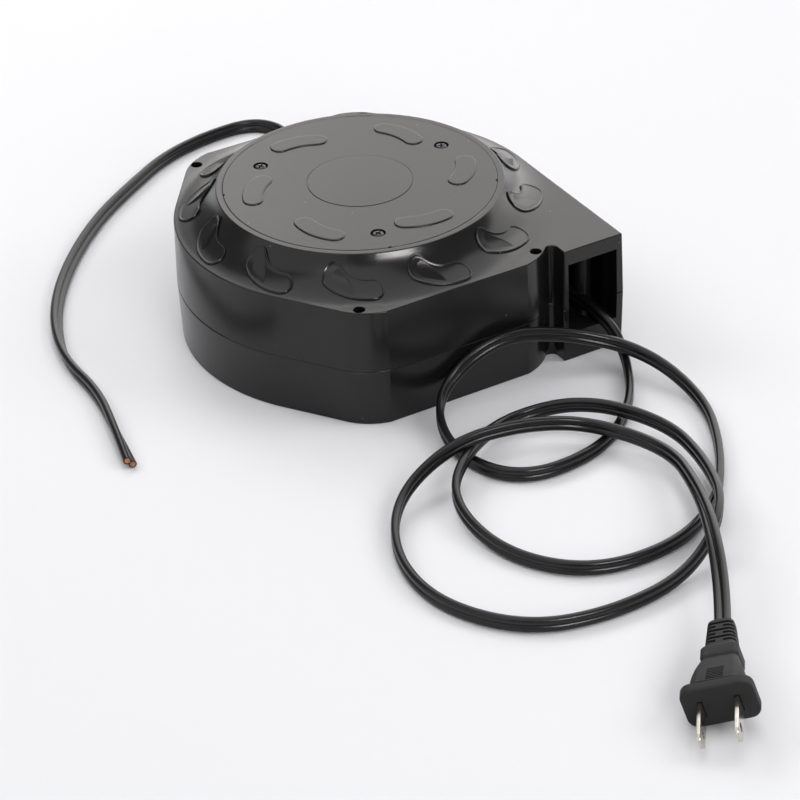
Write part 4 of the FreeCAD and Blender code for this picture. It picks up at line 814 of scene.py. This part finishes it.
class REEL_OT_cords(bpy.types.Operator):
    """Lays the plug's cord and the supply lead along their routes"""

    bl_idname = "reel.lay_cords"
    bl_label = "Lay Cords"

    def execute(self, context):
        settings = context.scene.reel_cord
        section = cord_section(settings)
        end = tuple(c / MM for c in PLUG_FRAME @ Vector((0.4 * MM, -AXIS_DROP * MM, (PLUG_LENGTH - 3) * MM)))
        route = (EXIT,) + PLUG_CORD_ROUTE + (end,)
        # On edge through the rollers and round the loops, turned flat for the last stretch to the plug
        tilts = [90.0] * (len(route) - 4) + [70.0, 45.0, 20.0, 12.0]
        cord, path = swept_cord("twin_cord", route, tilts, section)
        dress(cord, "casing", "cord_jacket", "plug_cord", smooth_angle=60, weighted=False)
        lead_route = (LEAD_START,) + LEAD_ROUTE
        # Flat out of the grommet, on edge round the bend, leaning along the side, on edge again at its end
        lead_tilts = [0.0, 0.0, -25.0, -60.0, -80.0, -82.0, -80.0, -76.0, -68.0, -58.0, -50.0, -50.0]
        lead_tilts += [-80.0, -100.0, -80.0, LEAD_END_TILT]
        lead, lead_path = swept_cord("supply_lead", lead_route, lead_tilts, section)
        dress(lead, "casing", "cord_jacket", "fixed_lead", smooth_angle=60, weighted=False)
        cores = self.cores(lead_path, (settings.width - settings.thickness) / 2)
        bpy.data.objects.remove(section)
        return {"FINISHED"}

    def cores(self, path, apart):
        """The two bundles of strands that show at the lead's cut end."""
        end = Vector(path[-1])
        ahead = (end - Vector(path[-3])).normalized()
        left = Vector((0, 0, 1)).cross(ahead).normalized()
        lean = math.radians(LEAD_END_TILT)
        across = left * math.cos(lean) + ahead.cross(left) * math.sin(lean)
        turn = Matrix((across, ahead.cross(across), ahead)).transposed().to_4x4()
        strands = []
        # One strand in the middle, then rings of six and twelve; their ends are uneven
        layers = ((0.0, 1), (0.44, 6), (0.88, 12))
        thick = 0.21
        for side in (-1, 1):
            for ring, count in layers:
                for step in range(count):
                    angle = math.tau * step / count
                    tip = 0.16 + 0.1 * math.sin(5.0 * angle + 2.0 * ring + side)
                    strand = bmesh.new()
                    profile = [(0.0, -3.0), (thick, -3.0), (thick, tip - 0.06)]
                    profile += [(0.15, tip), (0.0, tip + 0.02)]
                    spun(strand, profile, 8, ring * math.cos(angle), ring * math.sin(angle))
                    bmesh.ops.translate(strand, verts=strand.verts, vec=(side * apart, 0, 0))
                    strands.append(strand)
        cores = as_object(gathered(strands), "lead_core_ends")
        cores.data.transform(Matrix.Translation(end) @ turn)
        return dress(cores, "casing", "copper", "lead_cores", weighted=False)


class REEL_OT_stage(bpy.types.Operator):
    """Adds the plain pale floor and the soft studio light"""

    bl_idname = "reel.add_stage"
    bl_label = "Add Stage"

    def execute(self, context):
        settings = context.scene.reel_stage
        bm = bmesh.new()
        bmesh.ops.create_grid(bm, x_segments=1, y_segments=1, size=settings.floor_size)
        floor = as_object(bm, "floor")
        material, shader = new_material("White studio paper", Base_Color=linear("#efeff2"), Roughness=0.9)
        floor.data.materials.append(material)
        world = bpy.data.worlds.new("studio")
        world.use_nodes = True
        world.node_tree.nodes["Background"].inputs["Color"].default_value = (1, 1, 1, 1)
        world.node_tree.nodes["Background"].inputs["Strength"].default_value = settings.room_light
        context.scene.world = world
        # White cards and a lamp that the plastic mirrors. They light nothing else and are a little warm
        for name, place, aim, size, power in (
            # At the right: level faces and the right of the flare mirror it, so they turn grey
            ("card", (1.4, 0.87, 0.74), (0.0, 0.0, 0.1), (3.0, 1.56), settings.card_power),
            # Dimmer at the left: it keeps the left of the flare from going black
            ("left card", (-1.5, -0.15, 0.95), (0.0, 0.0, 0.1), (2.4, 1.9), 11.5),
            # Narrow behind: the ear at the back mirrors it
            ("back card", (0.35, 1.85, 0.7), (0.0, 0.0, 0.1), (0.9, 1.9), 4.0),
            # Two sheets overhead, laid along the view, dim over the reel and brighter to its right
            ("sheet", (0.045, 0.289, 1.6), (0.040, 0.280, 0.0), (1.2, 3.25), settings.sheet_power),
            ("side sheet", (1.338, 0.462, 1.6), (1.333, 0.453, 0.0), (0.9, 1.7), 7.0),
            # Behind the camera: the hot streak on the flare under the rim
            ("key", (-0.04, -1.13, 0.72), (0.0, 0.0, 0.06), (0.5, 0.15), settings.key_power),
        ):
            lamp = self.softbox(context, name, place, aim, size, power)
            lamp.visible_diffuse = False
            lamp.data.color = (1.0, 0.975, 0.96)
        # Five wide lamps light the floor from every side, so the shadows stay faint and soft
        for name, place, aim, size, power in (
            ("right fill", (1.3, -0.9, 1.3), (0.0, 0.0, 0.0), 1.0, 11.5),
            ("front fill", (-0.2, -1.5, 0.8), (0.0, 0.0, 0.0), 0.8, 7.5),
            ("top fill", (0.0, 0.0, 2.2), (0.0, 0.001, 0.0), 1.6, 13.0),
            ("rear fill", (0.3, 1.0, 1.2), (0.0, 0.3, 0.0), 0.8, settings.rear_power),
            ("rear left fill", (-0.8, 1.0, 1.2), (0.0, 0.3, 0.0), 0.8, 9.0),
        ):
            lamp = self.softbox(context, name, place, aim, (size, size), power)
            lamp.visible_glossy = False
        context.scene.view_settings.view_transform = "Standard"
        return {"FINISHED"}

    def softbox(self, context, name, place, aim, size, power):
        """A flat lamp at a place in metres that faces its aim."""
        data = bpy.data.lights.new(name, "AREA")
        data.shape = "RECTANGLE"
        data.size, data.size_y = size
        data.energy = power
        lamp = bpy.data.objects.new(name, data)
        lamp.location = place
        lamp.rotation_euler = (Vector(aim) - Vector(place)).to_track_quat("-Z", "Y").to_euler()
        context.scene.collection.objects.link(lamp)
        return lamp


class REEL_OT_casing(bpy.types.Operator):
    """Builds the two casing halves with their ears, outlet box, skirt and rim"""

    bl_idname = "reel.build_casing"
    bl_label = "Build Casing"

    def execute(self, context):
        settings = context.scene.reel_casing
        corner = settings.corner_round / MM
        edge = settings.edge_round / MM
        seam = settings.seam / MM
        upper = self.upper(corner, edge, seam)
        dress(upper, "casing", "casing_plastic", "upper_casing")
        self.crisp_corners(upper)
        lower = self.lower(corner, seam)
        dress(lower, "casing", "casing_plastic", "lower_casing")
        self.crisp_corners(lower)
        return {"FINISHED"}

    def crisp_corners(self, thing):
        """Marks the blunt upright corners where the flat front and back meet the ears."""
        places = [vert.co / MM for vert in thing.data.vertices]
        for edge in thing.data.edges:
            start, end = (places[index] for index in edge.vertices)
            upright = abs(end.z - start.z) > 0.9 * (end - start).length
            if upright and all(abs(abs(p.x) - EAR_END) < 0.4 and abs(p.y) > 74.0 for p in (start, end)):
                edge.use_edge_sharp = True

    def upper(self, corner, edge, seam):
        """The upper half: drafted walls, the plate's rounded edge, the flare, the rim and the seat."""
        drafted = (PLATE - PARTING) * DRAFT
        rings = [at_height(whole_outline(seam, corner), PARTING)]
        for height in (PARTING + seam, 32.0, 41.0):
            inset = (height - PARTING) * DRAFT
            rings.append(at_height(whole_outline(inset, corner), height))
        insets = []
        for step in range(6):
            turn = math.radians(90 * step / 5)
            insets.append((edge * (1 - math.cos(turn)), edge * (1 - math.sin(turn))))
        insets += [(inset, 0.0) for inset in (1.3, 2.2, 3.4, 4.8)]
        for inset, drop in insets:
            points = whole_outline(drafted + inset, corner)
            rings.append([(x, y, skirt_height(math.hypot(x, y)) - drop) for x, y in points])
        outer = [(math.hypot(x, y), math.atan2(y, x)) for x, y, z in rings[-1]]
        turns = [outer[0][1]]
        for reach, angle in outer[1:]:
            while angle < turns[-1] - math.pi:
                angle += math.tau
            turns.append(max(angle, turns[-1] + 1e-4))
        top = FLARE_Z - RIM_HEIGHT + RIM_ROUND
        rim_x = FLARE_FOOT - math.sqrt((FLARE_RADIUS + RIM_ROUND) ** 2 - top ** 2)
        foot = FLARE_FOOT - (FLARE_FOOT - rim_x) * FLARE_RADIUS / (FLARE_RADIUS + RIM_ROUND)
        lean = math.degrees(math.atan2(top, FLARE_FOOT - rim_x))
        steps = 16
        for step in range(1, steps + 1):
            share = step / steps
            ring = []
            for (reach, _), angle in zip(outer, turns):
                near = reach + (foot - reach) * share
                ring.append((near * math.cos(angle), near * math.sin(angle), skirt_height(near)))
            rings.append(ring)
        rim = []
        for step in range(1, 6):
            angle = math.radians(lean + (90 - lean) * step / 5)
            rim.append((rim_x + RIM_ROUND * math.cos(angle), RIM_HEIGHT - RIM_ROUND * (1 - math.sin(angle))))
        rim += [(SEAT_RADIUS + 0.7, RIM_HEIGHT), (SEAT_RADIUS + 0.14, RIM_HEIGHT)]
        rim += [(SEAT_RADIUS + 0.04, RIM_HEIGHT - 0.05), (SEAT_RADIUS, RIM_HEIGHT - 0.15)]
        rim += [(SEAT_RADIUS, SEAT_FLOOR), (SPRING_ROOM, SEAT_FLOOR)]
        for reach, height in rim:
            rings.append([(reach * math.cos(angle), reach * math.sin(angle), height) for angle in turns])
        upper = lofted(rings, "upper_casing_moulding")
        cutters = [
            cylinder(ROOM_RADIUS, 20.0, ROOM_TOP, segments=180),
            cylinder(SPRING_ROOM, PLATE, 62.0, segments=120),
        ]
        cutters += self.mouth(20.0, 43.5)
        cutters += [
            cylinder(MOUNT_RADIUS, 20.0, PLATE, MOUNT_X * x, MOUNT_Y * y, chamfer=0.15, top=True)
            for x, y in CORNERS
        ]
        return carve(upper, cutters)

    def lower(self, corner, seam):
        """The lower half: its rounded foot, drafted walls and hollow, with the holes for the screws."""
        drafted = PARTING * DRAFT
        foot_round = 0.5
        rings = []
        for step in range(5):
            turn = math.radians(90 * step / 4)
            inset = drafted + foot_round * (1 - math.sin(turn))
            rings.append(at_height(whole_outline(inset, corner), foot_round * (1 - math.cos(turn))))
        for height in (12.0, PARTING - seam):
            inset = (PARTING - height) * DRAFT
            rings.append(at_height(whole_outline(inset, corner), height))
        rings.append(at_height(whole_outline(seam, corner), PARTING))
        lower = lofted(rings, "lower_casing_moulding")
        cutters = [cylinder(ROOM_RADIUS, ROOM_FLOOR, 30.0, segments=180)]
        cutters += self.mouth(12.5, 30.0)
        for x, y in CORNERS:
            cutters.append(cylinder(MOUNT_RADIUS, 0.0, 30.0, MOUNT_X * x, MOUNT_Y * y, chamfer=0.3))
            cutters.append(cylinder(CASE_WELL, 0.0, 12.0, CASE_SCREW_X * x, CASE_SCREW_Y * y, chamfer=0.3))
        # Well of the spindle's end
        cutters.append(cylinder(6.8, 0.0, 2.3, chamfer=0.3))
        grommet_hole = cylinder(4.02, 66.0, 80.0)
        lay_along_y(grommet_hole, LEAD_START[0], LEAD_START[2])
        cutters.append(grommet_hole)
        return carve(lower, cutters)

    def mouth(self, low, high):
        """Cutters for the outlet box's room and the pocket in its right wall, between two heights."""
        return [
            block((49.4, -80.0, low), (71.7, -20.0, high)),
            block((70.0, -65.0, low), (72.7, -20.0, high)),
        ]


def bean_outline(middle, turn, spacing, lobe, back, belly, inset, towards_spine=0.0):
    """Points round a kidney-shaped pad, moved inwards. Its hollow side faces the axis."""
    half = spacing / 2
    back_drop = math.sqrt((back - lobe) ** 2 - half ** 2)
    belly_drop = math.sqrt((belly + lobe) ** 2 - half ** 2)
    back_turn = math.degrees(math.atan2(back_drop, half))
    belly_turn = math.degrees(math.atan2(belly_drop, half))
    points = arc(0, -back_drop, back, back_turn, 180 - back_turn, 16, inset)
    points += arc(-half, 0, lobe, 180 - back_turn, 360 - belly_turn, 14, inset)[1:]
    points += arc(0, -belly_drop, belly, 180 - belly_turn, belly_turn, 16, inset, hollow=True)[1:]
    points += arc(half, 0, lobe, 180 + belly_turn, 360 + back_turn, 14, inset)[1:-1]
    moved = []
    for place, (x, y) in enumerate(points):
        # Points across from each other share one point of the spine, which ends in the lobes' middles
        facing = points[(46 - place) % 60]
        spine_x = (x + facing[0]) / 2
        spine_y = (y + facing[1]) / 2
        if abs(spine_x) > half:
            spine_x = math.copysign(half, spine_x)
            spine_y = 0.0
        moved.append((x + (spine_x - x) * towards_spine, y + (spine_y - y) * towards_spine))
    points = moved
    cosine = math.cos(turn)
    sine = math.sin(turn)
    return [(middle[0] + x * cosine - y * sine, middle[1] + x * sine + y * cosine) for x, y in points]


def pads(bm, height, start, count, reach, tilt, spacing, lobe, back, belly, edge, sunk, bead=0.0):
    """Raised pads round the axis. Height gives a point's height from its distance and its share of the
    rise. A bead stands along the edge of each pad, so much of the rise higher."""
    rounding = [math.radians(18 * step) for step in range(6)]
    rings = [(0.0, None, 0.0)]
    rings += [(edge * (1 - math.cos(turn)), (1.0 + bead) * math.sin(turn), 0.0) for turn in rounding]
    if bead:
        rings += [(edge + 0.12, 1.0 + 0.85 * bead, 0.0), (edge + 0.35, 1.0 + 0.15 * bead, 0.0)]
    rings += [(edge + 0.6, 1.0, share) for share in (0.0, 0.15, 0.35, 0.55, 0.75, 0.9, 1.0)]
    for index in range(count):
        angle = math.radians(start + index * 360 / count)
        middle = (reach * math.cos(angle), reach * math.sin(angle))
        turn = angle - math.pi / 2 - math.radians(tilt)
        skins = []
        for inset, share, inwards in rings:
            points = bean_outline(middle, turn, spacing, lobe, back, belly, inset, inwards)
            if share is None:
                skins.append([(x, y, height(math.hypot(x, y), 0.0) - sunk) for x, y in points])
            else:
                skins.append([(x, y, height(math.hypot(x, y), share)) for x, y in points])
        loft(bm, skins, close_end=False)


class REEL_OT_pads(bpy.types.Operator):
    """Raises the kidney-shaped pads on the skirt"""

    bl_idname = "reel.raise_skirt_pads"
    bl_label = "Raise Skirt Pads"

    def execute(self, context):
        bm = bmesh.new()
        pads(bm, lambda reach, share: skirt_height(reach, SKIRT_PAD_RISE * share), **SKIRT_PADS)
        thing = finished(bm, "skirt_pads")
        dress(thing, "casing", "casing_plastic", smooth_angle=70, weighted=False)
        return {"FINISHED"}


class REEL_OT_cover(bpy.types.Operator):
    """Builds the round cover with its pads and disc, and cuts the recesses for its screws"""

    bl_idname = "reel.build_cover"
    bl_label = "Build Cover"

    def execute(self, context):
        settings = context.scene.reel_cover
        edge = settings.edge_round / MM
        profile = [(0.0, SEAT_FLOOR), (COVER_RADIUS - 0.2, SEAT_FLOOR), (COVER_RADIUS, SEAT_FLOOR + 0.2)]
        for step in range(5):
            turn = math.radians(90 * step / 4)
            profile.append((
                COVER_RADIUS - edge * (1 - math.cos(turn)), COVER_TOP - edge * (1 - math.sin(turn)),
            ))
        profile += [(21.05, COVER_TOP), (21.0, DISC_RECESS), (0.0, DISC_RECESS)]
        cover = turned(profile, 180, "round_cover")
        cutters = []
        for angle in COVER_SCREWS:
            x = COVER_SCREW_REACH * math.cos(math.radians(angle))
            y = COVER_SCREW_REACH * math.sin(math.radians(angle))
            cutters.append(cylinder(2.95, 60.2, COVER_TOP, x, y, chamfer=0.08, top=True))
        for angle in COVER_NOTCHES:
            x = COVER_RADIUS * math.cos(math.radians(angle))
            y = COVER_RADIUS * math.sin(math.radians(angle))
            cutters.append(cylinder(0.8, COVER_TOP - 0.8, COVER_TOP + 1, x, y, segments=24))
        carve(cover, cutters)
        dress(cover, "casing", "cover_plastic", "spring_cover")
        bm = bmesh.new()
        pads(
            bm, lambda reach, share: COVER_TOP + COVER_PAD_RISE * share, count=settings.pad_count,
            edge=settings.pad_round / MM, **COVER_PADS,
        )
        raised = finished(bm, "cover_pads")
        dress(raised, "casing", "cover_plastic", smooth_angle=70, weighted=False)
        disc = [(0.0, 61.3), (20.8, 61.3), (20.8, 61.62), (20.76, 61.7), (20.65, 61.75), (0.0, 61.75)]
        label = turned(disc, 160, "bare_disc")
        dress(label, "casing", "label_plastic", "cover_label")
        return {"FINISHED"}


class REEL_OT_screws(bpy.types.Operator):
    """Drives the three cover screws and the four casing screws"""

    bl_idname = "reel.drive_screws"
    bl_label = "Drive Screws"

    def execute(self, context):
        cover = []
        for place, angle in zip(COVER_SCREWS, COVER_SCREW_TURNS):
            x = COVER_SCREW_REACH * math.cos(math.radians(place))
            y = COVER_SCREW_REACH * math.sin(math.radians(place))
            cover.append((x, y, angle))
        head = [(0.0, 55.6), (1.1, 55.9), (1.5, 56.6), (1.5, 60.3), (2.3, 60.3), (2.42, 60.4), (2.42, 60.95)]
        head += [(2.3, 61.2), (1.9, 61.42), (1.2, 61.54), (0.0, 61.58)]
        screws("cover_screw_set", cover, head, (60.6, 62.2, 1.8, 0.74), "casing", "cover_screws")
        casing = [(CASE_SCREW_X * x, CASE_SCREW_Y * y, 30.0 * x + 12.0 * y) for x, y in CORNERS]
        head = [(0.0, 10.0), (1.5, 10.05), (2.3, 10.3), (2.75, 11.0), (2.75, 12.0), (1.5, 12.0)]
        head += [(1.5, 28.0), (1.0, 30.0), (0.0, 30.4)]
        screws("casing_screw_set", casing, head, (11.2, 9.4, 1.7, 0.7), "casing", "casing_screws")
        return {"FINISHED"}


def rounded_box(width, height, corner, lift=0.0):
    """Points round a rounded box of the plug, lifted off its axis."""
    half = width / 2 - corner
    rise = height / 2 - corner
    points = []
    for x, y, start in ((half, rise, 0), (-half, rise, 90), (-half, -rise, 180), (half, -rise, 270)):
        points += arc(x, y + lift, corner, start, start + 90, 6)
    return points


def shell_size(back):
    """Width, height, corner and lift of the plug's shell at a distance behind its face."""
    share = min(max((back - SHELL_START) / (BLOCK_START - SHELL_START), 0.0), 1.0)
    width = 18.4 - 6.0 * share ** 1.9
    top = 8.6 - 3.8 * share ** 1.35
    foot = 7.2 - 2.5 * share ** 1.35
    return width, top + foot, 3.3 - 1.4 * share, (top - foot) / 2 - AXIS_DROP


class REEL_OT_plug(bpy.types.Operator):
    """Builds the plug with its face, shell, grip patch, blades and strain relief"""

    bl_idname = "reel.build_plug"
    bl_label = "Build Plug"

    def execute(self, context):
        body = self.body()
        body.data.transform(PLUG_FRAME)
        dress(body, "casing", "plug_plastic", "plug_body", smooth_angle=32)
        # The grip patch stays flat shaded, so that its fine ribs read as straight lines
        inwards = PLUG_FRAME.inverted()
        for face in body.data.polygons:
            place = inwards @ face.center / MM
            if abs(place.x) < 3.0 and place.y > 4.0 and 4.6 < place.z < 11.3:
                face.use_smooth = False
        relief = self.relief()
        relief.data.transform(PLUG_FRAME)
        dress(relief, "casing", "plug_plastic", "plug_strain_relief", smooth_angle=40)
        blades = self.blades()
        blades.data.transform(PLUG_FRAME)
        dress(blades, "casing", "blade_nickel", "plug_blades", smooth_angle=32)
        return {"FINISHED"}

    def body(self):
        """The face's thick edge, the tapering shell, the block behind it, the grip and the blades' slots."""
        rings = []
        for back, slim in (
            (0.0, 1.1), (0.08, 0.7), (0.3, 0.3), (0.7, 0.0), (3.4, 0.0), (3.75, 0.3), (4.0, 0.9),
        ):
            rings.append((back, (25.0 - slim, 16.4 - slim, 4.0 - slim / 2, -0.95)))
        width, height, corner, lift = shell_size(SHELL_START)
        rings.append((4.0, (width + 0.5, height + 0.3, corner + 0.2, lift)))
        for step in range(13):
            back = SHELL_START + (BLOCK_START - SHELL_START) * step / 12
            rings.append((back, shell_size(back)))
        for back, slim in (
            (0.02, 1.0), (0.1, 0.75), (0.7, 0.1), (1.0, 0.0), (4.8, 0.0), (5.5, 0.5), (6.4, 1.4),
        ):
            rings.append((BLOCK_START + back, (13.2 - slim, 10.6 - slim, 1.7, -AXIS_DROP)))
        body = lofted([at_height(rounded_box(*size), back) for back, size in rings], "plug_moulding")
        sockets = []
        for side in (-1, 1):
            x = side * BLADE_OFFSET
            sockets.append(block((x - 0.95, -BLADE_DROP - 3.4, -1.0), (x + 0.95, -BLADE_DROP + 3.4, 0.5)))
        grooves = []
        for index in range(7):
            back = 4.9 + 1.0 * index
            width, height, corner, lift = shell_size(back)
            top = height / 2 + lift
            grooves.append(block((-2.95, top - 0.3, back - 0.27), (2.95, top + 0.6, back + 0.27)))
        return carve(body, [gathered(sockets), gathered(grooves)])

    def relief(self):
        """The strain relief, with slots cut by turns through its sides and through its top and foot."""
        rings = []
        for back, slim in ((RELIEF_START, 0.0), (38.9, 1.9), (39.8, 2.1), (40.3, 2.6), (PLUG_LENGTH, 3.6)):
            rings.append((back, (11.3 - slim, 9.0 - slim, 2.3, -AXIS_DROP)))
        # It leans a little to the side that the cord comes from
        lean = -0.04
        relief = lofted([
            [(x - lean * (back - RELIEF_START), y, back) for x, y in rounded_box(*size)]
            for back, size in rings
        ], "strain_relief")
        cutters = []
        for index in range(6):
            low = 27.6 + 1.95 * index
            high = low + 1.1
            web = -lean * (low - RELIEF_START)
            if index % 2:
                cutters.append(block((-9, 2.3 - AXIS_DROP, low), (9, 9, high)))
                cutters.append(block((-9, -9, low), (9, -2.3 - AXIS_DROP, high)))
            else:
                cutters.append(block((web + 1.3, -9, low), (9, 9, high)))
                cutters.append(block((-9, -9, low), (web - 1.3, 9, high)))
        return carve(relief, [gathered(cutters)])

    def blades(self):
        """The two flat blades with their pointed ends and the hole near each tip."""
        parts = []
        for side in (-1, 1):
            rings = []
            for back, thick, wide, corner in (
                (-17.0, 0.7, 3.0, 0.25), (-16.85, 0.9, 3.5, 0.3), (-15.4, 1.5, 6.2, 0.35),
                (-15.1, 1.5, 6.35, 0.35), (0.0, 1.5, 6.35, 0.35), (8.0, 1.5, 6.35, 0.35),
            ):
                points = rounded_box(thick, wide, corner, -BLADE_DROP)
                rings.append([(x + side * BLADE_OFFSET, y, back) for x, y in points])
            bm = bmesh.new()
            loft(bm, rings)
            parts.append(bm)
        blades = as_object(gathered(parts), "blade_pair")
        hole = cylinder(1.6, -12.0, 12.0, segments=40)
        bmesh.ops.rotate(hole, verts=hole.verts, cent=(0, 0, 0), matrix=Matrix.Rotation(math.pi / 2, 3, "Y"))
        bmesh.ops.translate(hole, verts=hole.verts, vec=(0, -BLADE_DROP * MM, -12.0 * MM))
        return carve(blades, [hole])


class REEL_OT_lead(bpy.types.Operator):
    """Builds the ribbed grommet through which the supply lead leaves the back wall"""

    bl_idname = "reel.finish_lead"
    bl_label = "Finish Lead"

    def execute(self, context):
        # Collar inside the wall, flange outside it, six ribs that get thinner, and the bore
        profile = [(3.25, 68.0), (3.8, 68.0), (4.0, 68.2), (4.0, 74.75), (4.9, 74.75), (5.2, 75.05)]
        profile += [(5.2, 75.9), (4.9, 76.2), (4.0, 76.2)]
        for rib in range(6):
            start = 77.2 + 2.6 * rib
            thick = 4.0 - 0.8 * (start - 76.2) / 18
            profile += [(thick, start), (thick - 0.35, start + 0.25), (thick - 0.35, start + 0.95)]
            profile += [(thick - 0.05, start + 1.2)]
        profile += [(3.3, 93.6), (3.2, 94.2), (3.12, 94.2), (3.12, 68.0), (3.25, 68.0)]
        bm = bmesh.new()
        spun(bm, profile, 48)
        lay_along_y(bm, LEAD_START[0], LEAD_START[2])
        grommet = finished(bm, "ribbed_grommet")
        dress(grommet, "casing", "grommet_rubber", "lead_grommet", smooth_angle=40)
        return {"FINISHED"}


class REEL_PT_panel(bpy.types.Panel):
    """Lists the steps that dress the reel"""

    bl_label = "Cord Reel"
    bl_idname = "REEL_PT_panel"
    bl_space_type = "VIEW_3D"
    bl_region_type = "UI"
    bl_category = "Cord Reel"

    def draw(self, context):
        for step in STEPS:
            self.layout.operator(step.bl_idname)
        for scene_name in GROUPS:
            group = getattr(context.scene, scene_name)
            for name in group.__annotations__:
                self.layout.prop(group, name)


# In the order in which they run
STEPS = (
    REEL_OT_solids,
    REEL_OT_camera,
    REEL_OT_plug,
    REEL_OT_lead,
    REEL_OT_cords,
    REEL_OT_casing,
    REEL_OT_pads,
    REEL_OT_cover,
    REEL_OT_screws,
    REEL_OT_stage,
)
GROUPS = {
    "reel_casing": CasingSettings,
    "reel_cover": CoverSettings,
    "reel_cord": CordSettings,
    "reel_stage": StageSettings,
}


def register():
    """Adds the settings, the steps and the panel."""
    for group in GROUPS.values():
        bpy.utils.register_class(group)
    for name, group in GROUPS.items():
        setattr(bpy.types.Scene, name, PointerProperty(type=group))
    for step in STEPS:
        bpy.utils.register_class(step)
    bpy.utils.register_class(REEL_PT_panel)


def unregister():
    """Takes them away again."""
    bpy.utils.unregister_class(REEL_PT_panel)
    for step in reversed(STEPS):
        bpy.utils.unregister_class(step)
    for name in GROUPS:
        delattr(bpy.types.Scene, name)
    for group in reversed(GROUPS.values()):
        bpy.utils.unregister_class(group)


def main():
    """Dresses the reel from start to end."""
    register()
    bpy.ops.reel.finish_solids()
    bpy.ops.reel.add_camera()
    bpy.ops.reel.build_plug()
    bpy.ops.reel.finish_lead()
    bpy.ops.reel.lay_cords()
    bpy.ops.reel.build_casing()
    bpy.ops.reel.raise_skirt_pads()
    bpy.ops.reel.build_cover()
    bpy.ops.reel.drive_screws()
    bpy.ops.reel.add_stage()


if __name__ == "__main__":
    main()
